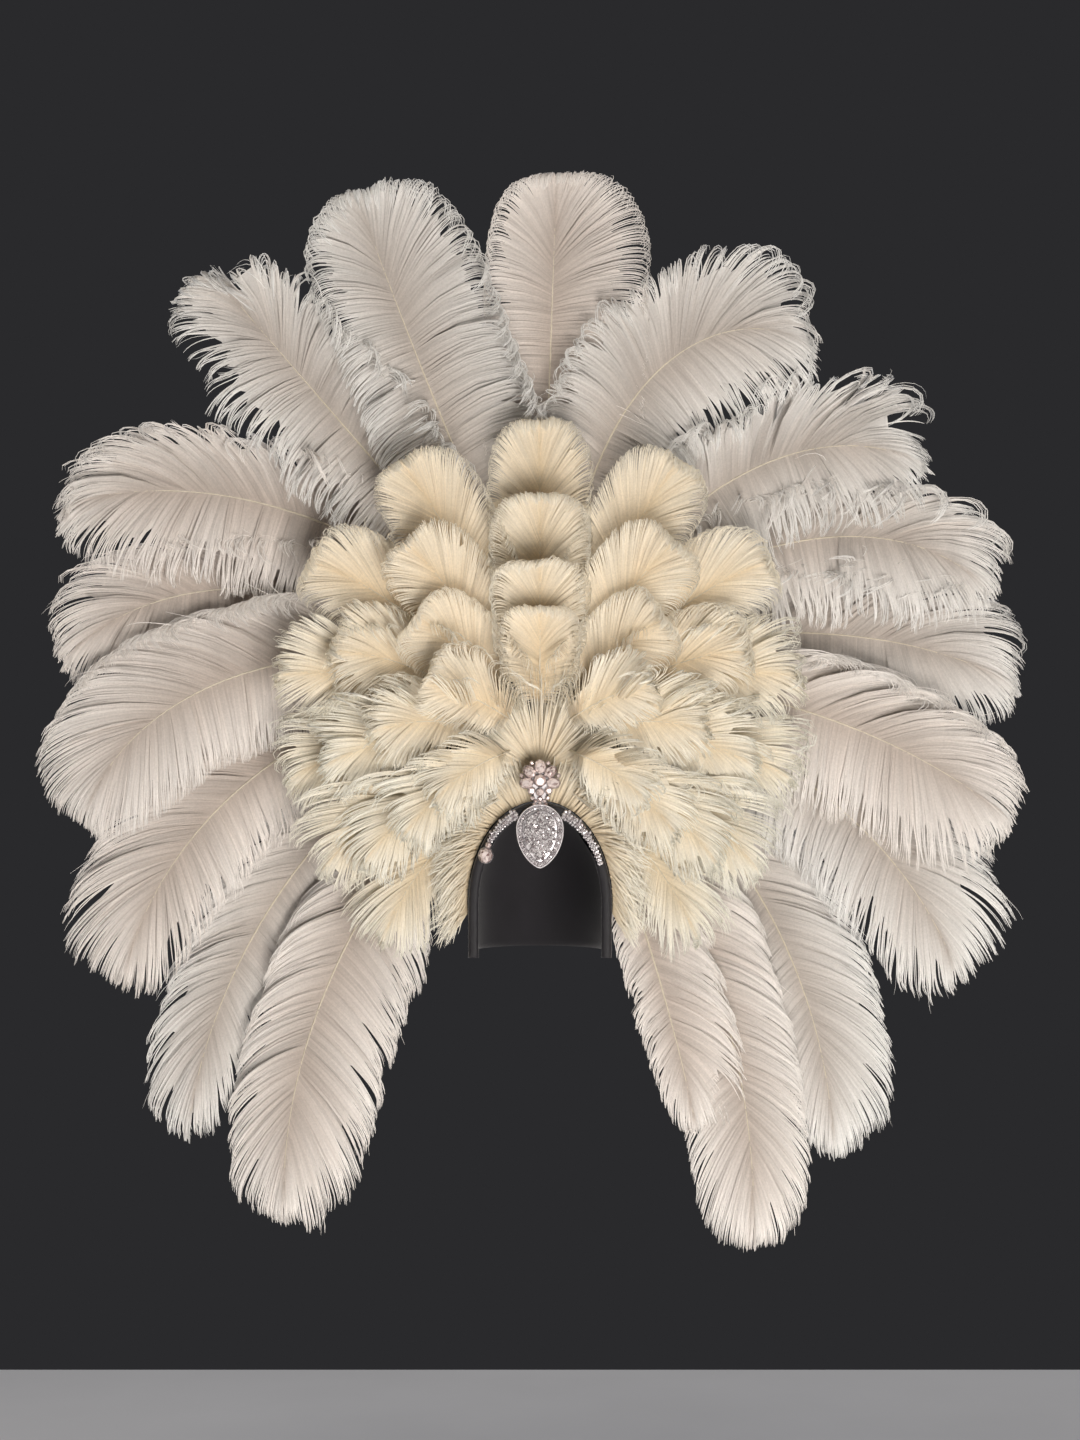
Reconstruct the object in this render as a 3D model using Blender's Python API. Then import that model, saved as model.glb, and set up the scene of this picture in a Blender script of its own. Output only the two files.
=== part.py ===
"""Feather headdress worn on the head: cap, padded rim, board, fan of plumes, tiers of feathers, stones.

Metres, +Z up, the wearer faces -Y. The origin is the middle of the head opening, at the head's widest level.
"""
import math

import bpy
import bmesh
from mathutils import Vector

# Driving dimensions
GAP = 0.0003                 # left between pieces that rest on each other
CAP_HALF_WIDTH = 0.087       # outside of the cap, at the ears
CAP_HEIGHT = 0.122           # origin to the cap's crown
CAP_FRONT = -0.075           # the cap's open front edge
CAP_MIDDLE = 0.010           # behind this the cap rounds in to the nape
CAP_BACK = 0.105
CAP_HEM = -0.066             # lower edge of the cap
CAP_WALL = 0.0025
RIM_HALF_WIDTH = 0.0065      # padded rim, across the face opening
RIM_HALF_DEPTH = 0.0045
BOARD_THICKNESS = 0.003
BOARD_FRONT = -0.048
BOARD_CENTRE_Z = 0.200
BOARD_HALF_WIDTH = 0.165
BOARD_HALF_HEIGHT = 0.225
BOARD_FOOT_Z = 0.030         # lower ends of the board's two legs
BOARD_EASE = 1.003           # the cut-out is this much larger than the cap, which it goes round

FAN_HUB_Z = 0.306            # the plumes' quills point at this height
FAN_REACH = 0.600            # hub to plume tip, measured along the quill
FAN_WIDTH = 0.120            # widest half of a plume, quill to barb tips
FAN_LAYER = 0.016            # depth between layers of plumes
FAN_LEAN = 0.090             # how far the fan's edge leans forward
FAN_LEAN_START = 0.250
FAN_LEAN_RUN = 0.380
PLUME_TIP_CURL = 0.030
PLUME_THICKNESS = 0.006
PLUME_QUILL = 0.0030         # half the quill's width
PLUME_ARCH = 0.007           # barb tips lie this far behind the quill
PLUME_RAMP = 0.18            # share of the quill over which it climbs from the board to its layer
PLUME_CURL_START = 0.80

SHIELD_HUB_Z = 0.198         # the short feathers' quills point at this height
SHIELD_REACH = 0.390         # this hub to the tip of the longest short feather
SHIELD_LAYER = 0.009         # depth between layers of short feathers
SHIELD_FIRST = 0.008         # board to the first layer
SHIELD_DROOP = 38.0          # degrees that a sideways feather bends down
FEATHER_WIDTH = 0.062        # widest half of a short feather
FEATHER_THICKNESS = 0.003
FEATHER_QUILL = 0.0020
FEATHER_ARCH = 0.003
FEATHER_RAMP = 0.25
FEATHER_CURL_START = 0.50    # share of a tier's tip distance beyond which its feathers curl forward
SHIELD_SIDE_ANGLE = 100.0    # degrees from straight up where a tier has its side length

# Each plume: angle of its root about the hub in degrees, clockwise from straight up as seen from the front,
# its turn from root to tip, how late it turns, root and tip distance as shares of FAN_REACH, the widths
# on its anticlockwise and clockwise sides as shares of FAN_WIDTH, and its layer, 3 in front.
PLUMES = [
    # name            angle  turn  late  root  tip   anti  clock layer
    ("plume_top",        2,    0,  2.0, 0.15, 0.97, 0.70, 1.00, 2),
    ("plume_left_8",   -23,    4,  2.0, 0.15, 1.00, 0.80, 1.00, 3),
    ("plume_left_7",   -41,    0,  2.0, 0.15, 1.02, 0.85, 0.75, 2),
    ("plume_left_6",   -56,  -54,  1.6, 0.16, 1.06, 1.00, 0.62, 1),
    ("plume_left_5",   -74,  -70,  2.2, 0.17, 1.04, 0.90, 0.52, 0),
    ("plume_left_4",   -90,  -78,  2.0, 0.18, 1.07, 0.85, 0.66, 2),
    ("plume_left_3",  -108,  -64,  1.4, 0.23, 1.15, 0.75, 0.70, 1),
    ("plume_left_2",  -128,  -48,  1.2, 0.31, 1.25, 0.62, 0.55, 0),
    ("plume_left_1",  -145,  -42,  1.6, 0.38, 1.27, 0.92, 0.58, 2),
    ("plume_right_1",   16,  114,  2.4, 0.15, 0.97, 0.80, 0.95, 3),
    ("plume_right_2",   45,   78,  2.2, 0.16, 0.94, 0.60, 1.00, 2),
    ("plume_right_3",   63,   78,  2.2, 0.16, 1.00, 0.55, 0.90, 1),
    ("plume_right_4",   84,   38,  2.0, 0.17, 1.00, 0.66, 0.80, 0),
    ("plume_right_5",  101,   32,  1.8, 0.20, 1.03, 0.60, 1.00, 2),
    ("plume_right_6",  113,   52,  1.6, 0.24, 1.12, 0.70, 0.85, 1),
    ("plume_right_7",  134,   48,  1.2, 0.31, 1.22, 0.68, 0.55, 0),
    ("plume_right_8",  149,   36,  1.2, 0.37, 1.28, 0.60, 0.68, 2),
    ("plume_right_9",  159,   10,  1.0, 0.41, 1.02, 0.60, 0.34, 3),
]

# Each tier of short feathers, back tier first: how many, angle of the outermost one, root distance, tip
# distance at the top and at the sides as shares of SHIELD_REACH, and the widest half as share of
# FEATHER_WIDTH and how far the tips curl forward.
TIERS = [
    # name       count  span   root  top   side  width curl
    ("feather_a",   13, 136.0, 0.30, 1.00, 0.82, 1.00, 0.030),
    ("feather_b",    9, 117.0, 0.21, 0.77, 0.70, 0.96, 0.030),
    ("feather_c",    7, 116.0, 0.13, 0.56, 0.54, 0.90, 0.028),
    ("feather_d",    5, 110.0, 0.07, 0.42, 0.40, 0.76, 0.024),
]

PLUME_STATIONS = (0.0, 0.08, 0.18, 0.25, 0.33, 0.42, 0.51, 0.60, 0.69, 0.78, 0.87, 0.95, 1.0)
FEATHER_STATIONS = (0.0, 0.13, 0.25, 0.42, 0.60, 0.78, 0.92, 1.0)
PATH_STEPS = 100
PLUME_BARE = 0.13            # share of a plume's quill that has no barbs
FEATHER_BARE = 0.14
BLADE_RISE = 0.24            # share of the quill over which the blade widens
BLADE_ROUND = 0.68           # from here the blade rounds off to its tip
BLADE_THIN = 0.60            # thickness at the bare quill, as a share of the blade's
QUILL_RIDGE = 0.30           # the quill stands this share of the thickness in front of the blade
QUILL_KEEL = 0.12            # and this share behind it
LEAN_LIMIT = 1.2             # lean and curl grow no more beyond this share of their run
DROOP_LATE = 1.6
LOCK_NOTCH = 0.84            # width between two locks, as a share of the width at their tips
BARB_SWEEP = 0.30            # barb tips lie this share of their length towards the plume's tip
BARB_SAG = 0.16              # and this share lower
TIP_WIDTH = 0.30             # width left at the last station

# Stone ornament
ORNAMENT_BACK = CAP_FRONT - GAP - 2 * RIM_HALF_DEPTH - GAP
PEAR_HALF_WIDTH = 0.0285
PEAR_TOP = 0.030             # widest level up to the top
PEAR_POINT = 0.047           # widest level down to the point
PEAR_LEVEL_Z = 0.090
PEAR_PLATE = 0.0030
BROOCH_Z = 0.149
BROOCH_RADIUS = 0.017
BROOCH_PLATE = 0.0016
SPRAY_HALF_WIDTH = 0.0036
SPRAY_PLATE = 0.0016
STONE_SIDES = 8
STONE_SUNK = 0.0010          # a stone's foot inside its plate
STONE_GIRDLE = 0.35          # share of a stone's height below its crown facets
STONE_TABLE = 0.56           # share of its width that is table

# Rows of round stones on the pear: how many, scale of the outline they follow, radius, height
PEAR_ROWS = [
    (13, 0.83, 0.0036, 0.0022),
    (8, 0.50, 0.0046, 0.0030),
]

# Stones of the brooch: angle from straight up, distance from its middle, half width, half length, height
BROOCH_STONES = [
    (-100.0, 0.0165, 0.0050, 0.0078, 0.0042),
    (-50.0, 0.0165, 0.0050, 0.0078, 0.0042),
    (0.0, 0.0165, 0.0050, 0.0078, 0.0042),
    (50.0, 0.0165, 0.0050, 0.0078, 0.0042),
    (100.0, 0.0165, 0.0050, 0.0078, 0.0042),
    (0.0, 0.0000, 0.0070, 0.0070, 0.0056),
    (-140.0, 0.0163, 0.0042, 0.0042, 0.0040),
    (140.0, 0.0163, 0.0042, 0.0042, 0.0040),
    (180.0, 0.0145, 0.0050, 0.0050, 0.0044),
]

# Sprays: side of the rim, first and last angle from its crown in degrees, number of stones
SPRAYS = [
    ("left_spray", -1, 22.0, 50.0, 6),
    ("right_spray", 1, 22.0, 66.0, 8),
]
SPRAY_TAPER = 0.35
SPRAY_STONE = 0.0039
SPRAY_STONE_HEIGHT = 0.0030
DROP_X = -0.0655
DROP_Z = 0.0585
DROP_HALF_WIDTH = 0.0090
DROP_HALF_HEIGHT = 0.0100
DROP_STONE = 0.82            # stone's share of its setting
DROP_STONE_HEIGHT = 0.0052


def clear_scene():
    for item in list(bpy.data.objects):
        bpy.data.objects.remove(item, do_unlink=True)


def make_material(name, colour, roughness, metallic):
    material = bpy.data.materials.new(name)
    material.use_nodes = True
    shader = material.node_tree.nodes["Principled BSDF"]
    shader.inputs["Base Color"].default_value = (*colour, 1.0)
    shader.inputs["Roughness"].default_value = roughness
    shader.inputs["Metallic"].default_value = metallic
    return material


def add_object(name, mesh_maker, material):
    """One object from a bmesh, in the scene's collection."""
    mesh = bpy.data.meshes.new(name)
    mesh_maker.normal_update()
    bmesh.ops.recalc_face_normals(mesh_maker, faces=mesh_maker.faces)
    mesh_maker.to_mesh(mesh)
    mesh_maker.free()
    mesh.materials.append(material)
    item = bpy.data.objects.new(name, mesh)
    bpy.context.scene.collection.objects.link(item)
    return item


def loft(rings):
    """A closed tube through rings of points that all have the same count."""
    mesh_maker = bmesh.new()
    rows = [[mesh_maker.verts.new(point) for point in ring] for ring in rings]
    count = len(rings[0])
    for near, far in zip(rows, rows[1:]):
        for k in range(count):
            n = (k + 1) % count
            mesh_maker.faces.new((near[k], near[n], far[n], far[k]))
    mesh_maker.faces.new(rows[0][::-1])
    mesh_maker.faces.new(rows[-1])
    return mesh_maker


# Feathers

def quill_path(root, angle, turn, late, length):
    """Points and headings of a quill seen from the front, from its root to its tip."""
    x, z = root
    step = length / PATH_STEPS
    path = []
    for k in range(PATH_STEPS + 1):
        share = k / PATH_STEPS
        heading = math.radians(angle + turn * share ** late)
        path.append((x, z, heading))
        x += math.sin(heading) * step
        z += math.cos(heading) * step
    return path


def blade_width(share, bare):
    """Barb length along a feather: none on the bare quill, full in the middle, round at the tip."""
    if share <= bare:
        return 0.0
    rise = min((share - bare) / BLADE_RISE, 1.0)
    fall = max((share - BLADE_ROUND) / (1.0 - BLADE_ROUND), 0.0)
    return (1.0 - (1.0 - rise) ** 2) * max(math.sqrt(1.0 - fall * fall), TIP_WIDTH)


def fan_lean(x, z):
    """The fan is a shallow bowl: its edge leans forward, the more the further from the hub."""
    reach = math.hypot(x, z - FAN_HUB_Z)
    lean = min(max((reach - FAN_LEAN_START) / FAN_LEAN_RUN, 0.0), LEAN_LIMIT)
    return -FAN_LEAN * lean * lean


def smooth(value):
    value = min(max(value, 0.0), 1.0)
    return value * value * (3.0 - 2.0 * value)


def feather_rings(path, stations, bare, widths, depth, size):
    """Rings of eight points: two barb tips, and the blade's front and back between them."""
    anti, clock = widths
    quill, thickness, arch = size
    rings = []
    for number, share in enumerate(stations):
        x, z, heading = path[round(share * PATH_STEPS)]
        along = (math.sin(heading), math.cos(heading))
        across = (math.cos(heading), -math.sin(heading))
        width = blade_width(share, bare)
        notch = LOCK_NOTCH if number % 2 else 1.0
        half = 0.5 * thickness * (BLADE_THIN + (1.0 - BLADE_THIN) * width)
        ridge = half + QUILL_RIDGE * thickness
        keel = half + QUILL_KEEL * thickness

        def place(side, part, lift):
            full = clock if side > 0 else anti
            barb = full * width * part
            reach = quill * math.sqrt(part) + barb * (notch if part == 1.0 else 1.0)
            px = x + across[0] * side * reach + along[0] * BARB_SWEEP * barb
            pz = z + across[1] * side * reach + along[1] * BARB_SWEEP * barb
            pz -= BARB_SAG * barb * part
            bend = arch * width * part * part
            return Vector((px, depth(px, pz, share) + bend + lift, pz))

        rings.append([
            place(-1, 1.0, 0.0), place(-1, 0.5, -half), place(1, 0.0, -ridge),
            place(1, 0.5, -half), place(1, 1.0, 0.0), place(1, 0.5, half),
            place(1, 0.0, keel), place(-1, 0.5, half)])
    return rings


def plume_depth(layer):
    """Depth of a plume's quill: seated on the board's back, then in its own layer of the fan."""
    board_back = BOARD_FRONT + BOARD_THICKNESS
    seat = board_back + GAP + (0.5 * BLADE_THIN + QUILL_RIDGE) * PLUME_THICKNESS
    plane = board_back + PLUME_THICKNESS + (3 - layer) * FAN_LAYER

    def depth(x, z, share):
        rise = smooth(share / PLUME_RAMP)
        curl = PLUME_TIP_CURL * max((share - PLUME_CURL_START) / (1.0 - PLUME_CURL_START), 0.0) ** 2
        return seat + (plane - seat) * rise + fan_lean(x, z) - curl
    return depth


def build_plume(row, material):
    name, angle, turn, late, root, tip, anti, clock, layer = row
    turned = math.radians(angle)
    start = (FAN_REACH * root * math.sin(turned), FAN_HUB_Z + FAN_REACH * root * math.cos(turned))
    path = quill_path(start, angle, turn, late, FAN_REACH * (tip - root))
    widths = (FAN_WIDTH * anti, FAN_WIDTH * clock)
    size = (PLUME_QUILL, PLUME_THICKNESS, PLUME_ARCH)
    rings = feather_rings(path, PLUME_STATIONS, PLUME_BARE, widths, plume_depth(layer), size)
    return add_object(name, loft(rings), material)


def tier_tip(top, side, x, z):
    """Tip distance of a tier in the direction of a point: longer above the hub than beside it."""
    turned = math.atan2(abs(x), z - SHIELD_HUB_Z)
    upright = smooth(1.0 - math.degrees(turned) / SHIELD_SIDE_ANGLE)
    return SHIELD_REACH * (side + (top - side) * upright)


def feather_depth(tier, sub_layer, top, side, curl):
    """Depth of a short feather: seated on the board's front, then in its layer, tip curled forward."""
    seat = BOARD_FRONT - GAP - (0.5 * BLADE_THIN + QUILL_KEEL) * FEATHER_THICKNESS
    plane = BOARD_FRONT - SHIELD_FIRST - (2 * tier + sub_layer) * SHIELD_LAYER

    def depth(x, z, share):
        rise = smooth(share / FEATHER_RAMP)
        reach = math.hypot(x, z - SHIELD_HUB_Z) / tier_tip(top, side, x, z)
        bow = min(max((reach - FEATHER_CURL_START) / (1.0 - FEATHER_CURL_START), 0.0), LEAN_LIMIT)
        return seat + (plane - seat) * rise + fan_lean(x, z) - curl * bow * bow
    return depth


def build_tier(tier, row, material):
    name, count, span, root, top, side, width, curl = row
    for number in range(count):
        angle = -span + 2.0 * span * number / (count - 1)
        turned = math.radians(angle)
        begin = SHIELD_REACH * root
        start = (begin * math.sin(turned), SHIELD_HUB_Z + begin * math.cos(turned))
        reach = tier_tip(top, side, math.sin(turned), SHIELD_HUB_Z + math.cos(turned))
        droop = SHIELD_DROOP * math.sin(turned)
        path = quill_path(start, angle, droop, DROOP_LATE, reach - begin)
        depth = feather_depth(tier, number % 2, top, side, curl)
        widths = (FEATHER_WIDTH * width,) * 2
        size = (FEATHER_QUILL, FEATHER_THICKNESS, FEATHER_ARCH)
        rings = feather_rings(path, FEATHER_STATIONS, FEATHER_BARE, widths, depth, size)
        add_object(f"{name}_{number + 1:02d}", loft(rings), material)


# Cap, rim and board

def hood_point(turned, y):
    """Point of the cap's outside, where turned runs 0 to pi from the right hem over the crown."""
    back = max(y - CAP_MIDDLE, 0.0) / (CAP_BACK - CAP_MIDDLE)
    scale = math.sqrt(max(1.0 - back * back, 0.0))
    return (CAP_HALF_WIDTH * scale * math.cos(turned), y, CAP_HEIGHT * scale * math.sin(turned))


def build_cap(material):
    """A sheet from the face opening back to the nape, given its wall by Solidify."""
    arch = [math.pi * k / 16 for k in range(17)]
    depths = [CAP_FRONT, BOARD_FRONT, 0.5 * (BOARD_FRONT + CAP_MIDDLE), CAP_MIDDLE]
    depths += [CAP_MIDDLE + (CAP_BACK - CAP_MIDDLE) * math.sin(math.radians(18 * k)) for k in range(1, 6)]
    mesh_maker = bmesh.new()
    rows = []
    for y in depths:
        right = hood_point(0.0, y)
        left = hood_point(math.pi, y)
        row = [(right[0], y, CAP_HEM), (right[0], y, 0.5 * CAP_HEM)]
        row += [hood_point(turned, y) for turned in arch]
        row += [(left[0], y, 0.5 * CAP_HEM), (left[0], y, CAP_HEM)]
        rows.append([mesh_maker.verts.new(point) for point in row])
    for near, far in zip(rows, rows[1:]):
        for k in range(len(near) - 1):
            mesh_maker.faces.new((near[k], near[k + 1], far[k + 1], far[k]))
    bmesh.ops.remove_doubles(mesh_maker, verts=mesh_maker.verts, dist=0.00005)
    cap = add_object("cap", mesh_maker, material)
    wall = cap.modifiers.new("wall", "SOLIDIFY")
    wall.thickness = CAP_WALL
    wall.offset = -1.0
    return cap


def rim_point(turned):
    """Centre line of the padded rim, where turned runs 0 to pi over the face opening."""
    half_width = CAP_HALF_WIDTH - RIM_HALF_WIDTH
    height = CAP_HEIGHT - RIM_HALF_WIDTH
    return (half_width * math.cos(turned), height * math.sin(turned))


def build_rim(material):
    centre_y = CAP_FRONT - GAP - RIM_HALF_DEPTH
    line = [(rim_point(0.0)[0], CAP_HEM)]
    line += [rim_point(math.pi * k / 18) for k in range(19)]
    line.append((rim_point(math.pi)[0], CAP_HEM))
    rings = []
    for k, (x, z) in enumerate(line):
        before = Vector(line[max(k - 1, 0)])
        after = Vector(line[min(k + 1, len(line) - 1)])
        along = (after - before).normalized()
        outward = Vector((along.y, -along.x))
        ring = []
        for side in range(6):
            turned = math.radians(60 * side)
            radial = RIM_HALF_WIDTH * math.cos(turned)
            y = centre_y + RIM_HALF_DEPTH * math.sin(turned) / math.sin(math.radians(60))
            ring.append((x + outward.x * radial, y, z + outward.y * radial))
        rings.append(ring)
    return add_object("front_rim", loft(rings), material)


def build_board(material):
    """Flat board round the cap: an oval cut off at its foot, with the cap's arch cut out of it."""
    steps = 26
    foot = math.acos((BOARD_FOOT_Z - BOARD_CENTRE_Z) / BOARD_HALF_HEIGHT)
    inner_width = CAP_HALF_WIDTH * BOARD_EASE
    inner_height = CAP_HEIGHT * BOARD_EASE + GAP
    spring = math.asin(BOARD_FOOT_Z / inner_height)
    rings = []
    for k in range(steps + 1):
        share = k / steps
        outer = -foot + 2.0 * foot * share
        inner = math.pi - spring - (math.pi - 2.0 * spring) * share
        far = (BOARD_HALF_WIDTH * math.sin(outer), BOARD_CENTRE_Z + BOARD_HALF_HEIGHT * math.cos(outer))
        near = (inner_width * math.cos(inner), inner_height * math.sin(inner))
        back = BOARD_FRONT + BOARD_THICKNESS
        rings.append([(near[0], BOARD_FRONT, near[1]), (far[0], BOARD_FRONT, far[1]),
                      (far[0], back, far[1]), (near[0], back, near[1])])
    return add_object("plume_board", loft(rings), material)


# Stone ornament

def add_stone(mesh_maker, x, z, half_width, half_height, base_y, height, tilt=0.0):
    """One cut stone: a girdle of eight sides, crown facets and a table, sunk a little into its plate."""
    levels = ((STONE_SUNK, 1.0), (-STONE_GIRDLE * height, 1.0), (-height, STONE_TABLE))
    rings = []
    for offset, scale in levels:
        ring = []
        for k in range(STONE_SIDES):
            turned = 2.0 * math.pi * (k + 0.5) / STONE_SIDES
            px = half_width * scale * math.cos(turned)
            pz = half_height * scale * math.sin(turned)
            ring.append(mesh_maker.verts.new((
                x + px * math.cos(tilt) + pz * math.sin(tilt), base_y + offset,
                z - px * math.sin(tilt) + pz * math.cos(tilt))))
        rings.append(ring)
    for near, far in zip(rings, rings[1:]):
        for k in range(STONE_SIDES):
            n = (k + 1) % STONE_SIDES
            mesh_maker.faces.new((near[k], near[n], far[n], far[k]))
    mesh_maker.faces.new(rings[0][::-1])
    mesh_maker.faces.new(rings[-1])


def fuse_stones(plate, stones, material):
    """Unite a plate with its stones, which stay behind as a hidden guide."""
    guide = add_object(plate.name + "_stones", stones, material)
    guide.hide_render = True
    guide.display_type = "WIRE"
    union = plate.modifiers.new("stones", "BOOLEAN")
    union.operation = "UNION"
    union.solver = "EXACT"
    union.use_self = True
    union.object = guide


def pear_outline(turned, scale=1.0):
    """Pear shape, point down: a round top, and sides that draw in to the point."""
    width = math.sin(turned)
    if math.cos(turned) >= 0.0:
        return (PEAR_HALF_WIDTH * scale * width, PEAR_LEVEL_Z + PEAR_TOP * scale * math.cos(turned))
    narrow = math.copysign(abs(width) ** 1.35, width)
    return (PEAR_HALF_WIDTH * scale * narrow, PEAR_LEVEL_Z + PEAR_POINT * scale * math.cos(turned))


def build_pear(material):
    back = ORNAMENT_BACK - BROOCH_PLATE - GAP
    front = back - PEAR_PLATE
    outline = [pear_outline(2.0 * math.pi * k / 24) for k in range(24)]
    rings = [[(x, back, z) for x, z in outline], [(x, front, z) for x, z in outline]]
    plate = add_object("pear_pendant", loft(rings), material)
    stones = bmesh.new()
    for count, scale, radius, height in PEAR_ROWS:
        for k in range(count):
            x, z = pear_outline(2.0 * math.pi * (k + 0.5) / count, scale)
            add_stone(stones, x, z, radius, radius, front, height)
    add_stone(stones, 0.0, PEAR_LEVEL_Z - 0.002, 0.0070, 0.0082, front, 0.0040)
    fuse_stones(plate, stones, material)
    return plate


def build_brooch(material):
    """Flower of stones: a round plate with a foot down to the rim, five petals, round stones between."""
    back = ORNAMENT_BACK
    front = back - BROOCH_PLATE
    outline = []
    for k in range(20):
        turned = math.radians(-60.0 + 300.0 * k / 19)
        outline.append((BROOCH_RADIUS * math.cos(turned), BROOCH_Z + BROOCH_RADIUS * math.sin(turned)))
    foot = (CAP_HEIGHT - 2 * RIM_HALF_WIDTH)
    outline += [(-0.0085, foot), (0.0085, foot)]
    rings = [[(x, back, z) for x, z in outline], [(x, front, z) for x, z in outline]]
    plate = add_object("top_brooch", loft(rings), material)
    stones = bmesh.new()
    for angle, reach, half_width, half_length, height in BROOCH_STONES:
        turned = math.radians(angle)
        x = reach * math.sin(turned)
        z = BROOCH_Z + reach * math.cos(turned)
        add_stone(stones, x, z, half_width, half_length, front, height, turned)
    fuse_stones(plate, stones, material)
    return plate


def build_spray(row, material):
    """Curved strip along the rim, in front of it, with stones that get smaller away from the middle."""
    name, side, begin, end, count = row
    back = ORNAMENT_BACK
    front = back - SPRAY_PLATE
    rings = []
    for k in range(11):
        turned = math.radians(begin + (end - begin) * k / 10)
        x, z = rim_point(0.5 * math.pi - side * turned)
        outward = Vector((x / CAP_HALF_WIDTH ** 2, z / CAP_HEIGHT ** 2)).normalized()
        half = SPRAY_HALF_WIDTH * (1.0 - SPRAY_TAPER * k / 10)
        rings.append([(x - outward.x * half, back, z - outward.y * half),
                      (x + outward.x * half, back, z + outward.y * half),
                      (x + outward.x * half, front, z + outward.y * half),
                      (x - outward.x * half, front, z - outward.y * half)])
    plate = add_object(name, loft(rings), material)
    stones = bmesh.new()
    for k in range(count):
        share = (k + 0.5) / count
        turned = math.radians(begin + (end - begin) * share)
        x, z = rim_point(0.5 * math.pi - side * turned)
        radius = SPRAY_STONE * (1.0 - SPRAY_TAPER * share)
        add_stone(stones, x, z, radius, radius, front, SPRAY_STONE_HEIGHT)
    fuse_stones(plate, stones, material)
    return plate


def build_drop(material):
    """Pear stone in a setting, at the end of the left spray."""
    back = ORNAMENT_BACK
    front = back - SPRAY_PLATE
    outline = []
    for k in range(16):
        turned = 2.0 * math.pi * k / 16
        x = DROP_X + DROP_HALF_WIDTH * math.cos(turned)
        z = DROP_Z + DROP_HALF_HEIGHT * math.sin(turned)
        outline.append((x, z))
    rings = [[(x, back, z) for x, z in outline], [(x, front, z) for x, z in outline]]
    plate = add_object("left_drop", loft(rings), material)
    stones = bmesh.new()
    half_width = DROP_HALF_WIDTH * DROP_STONE
    half_height = DROP_HALF_HEIGHT * DROP_STONE
    add_stone(stones, DROP_X, DROP_Z, half_width, half_height, front, DROP_STONE_HEIGHT)
    fuse_stones(plate, stones, material)
    return plate


def main():
    clear_scene()
    black_cloth = make_material("black_cloth", (0.012, 0.011, 0.012), 0.85, 0.0)
    white_feather = make_material("white_feather", (0.76, 0.72, 0.68), 0.90, 0.0)
    ivory_feather = make_material("ivory_feather", (0.74, 0.64, 0.47), 0.90, 0.0)
    crystal = make_material("crystal_in_silver", (0.72, 0.70, 0.70), 0.22, 0.80)
    build_cap(black_cloth)
    build_rim(black_cloth)
    build_board(black_cloth)
    for row in PLUMES:
        build_plume(row, white_feather)
    for tier, row in enumerate(TIERS):
        build_tier(tier, row, ivory_feather)
    build_pear(crystal)
    build_brooch(crystal)
    for row in SPRAYS:
        build_spray(row, crystal)
    build_drop(crystal)


main()
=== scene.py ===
"""Looks of the feather headdress: barbs on every quill, cloth cap and board, cut stones, the studio."""
import math

import bpy
import bmesh
import numpy as np
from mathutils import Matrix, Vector


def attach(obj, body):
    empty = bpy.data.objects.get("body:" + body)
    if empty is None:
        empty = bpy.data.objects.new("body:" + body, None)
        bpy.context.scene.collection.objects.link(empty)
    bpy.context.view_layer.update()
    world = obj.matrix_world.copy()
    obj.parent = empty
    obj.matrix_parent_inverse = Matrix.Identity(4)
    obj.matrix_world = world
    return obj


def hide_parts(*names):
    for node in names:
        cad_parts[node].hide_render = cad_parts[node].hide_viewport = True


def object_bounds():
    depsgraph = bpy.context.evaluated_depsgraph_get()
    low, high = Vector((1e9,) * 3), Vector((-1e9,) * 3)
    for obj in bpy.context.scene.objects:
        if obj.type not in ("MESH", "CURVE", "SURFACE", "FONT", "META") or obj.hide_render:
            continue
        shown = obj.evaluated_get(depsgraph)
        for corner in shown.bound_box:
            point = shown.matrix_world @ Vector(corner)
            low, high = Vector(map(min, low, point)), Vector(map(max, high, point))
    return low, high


bl_info = {
    "name": "Feather headdress",
    "version": (1, 0, 0),
    "blender": (4, 5, 0),
    "location": "View3D > Sidebar > Headdress",
    "description": "Dresses the headdress frame with feathers, cloth and stones",
    "category": "Object",
}

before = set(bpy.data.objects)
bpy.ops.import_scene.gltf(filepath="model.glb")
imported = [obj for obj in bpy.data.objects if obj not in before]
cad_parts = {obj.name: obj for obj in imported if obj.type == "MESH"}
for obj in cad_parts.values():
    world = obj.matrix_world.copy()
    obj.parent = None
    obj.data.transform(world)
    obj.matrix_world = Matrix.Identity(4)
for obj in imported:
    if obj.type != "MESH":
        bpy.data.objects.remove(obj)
CAD_BOX = [list(corner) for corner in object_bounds()]
FRONT = np.array((0.0, -1.0, 0.0))
DOWN = np.array((0.0, 0.0, -1.0))

# Sizes that the solids have too, in metres
GAP = 0.0003
CAP_HALF_WIDTH = 0.087
CAP_HEIGHT = 0.122
CAP_FRONT = -0.075
CAP_MIDDLE = 0.010
CAP_BACK = 0.105
CAP_HEM = -0.066
CAP_WALL = 0.0025
RIM_HALF_WIDTH = 0.0065
RIM_HALF_DEPTH = 0.0045
BOARD_THICKNESS = 0.003
BOARD_FRONT = -0.048
BOARD_CENTRE_Z = 0.200
BOARD_HALF_WIDTH = 0.165
BOARD_HALF_HEIGHT = 0.225
BOARD_FOOT_Z = 0.030
BOARD_EASE = 1.003
FAN_HUB_Z = 0.306
FAN_REACH = 0.600
FAN_WIDTH = 0.120
FAN_LAYER = 0.016
FAN_LEAN = 0.090
FAN_LEAN_START = 0.250
FAN_LEAN_RUN = 0.380
LEAN_LIMIT = 1.2
PLUME_THICKNESS = 0.006
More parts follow.
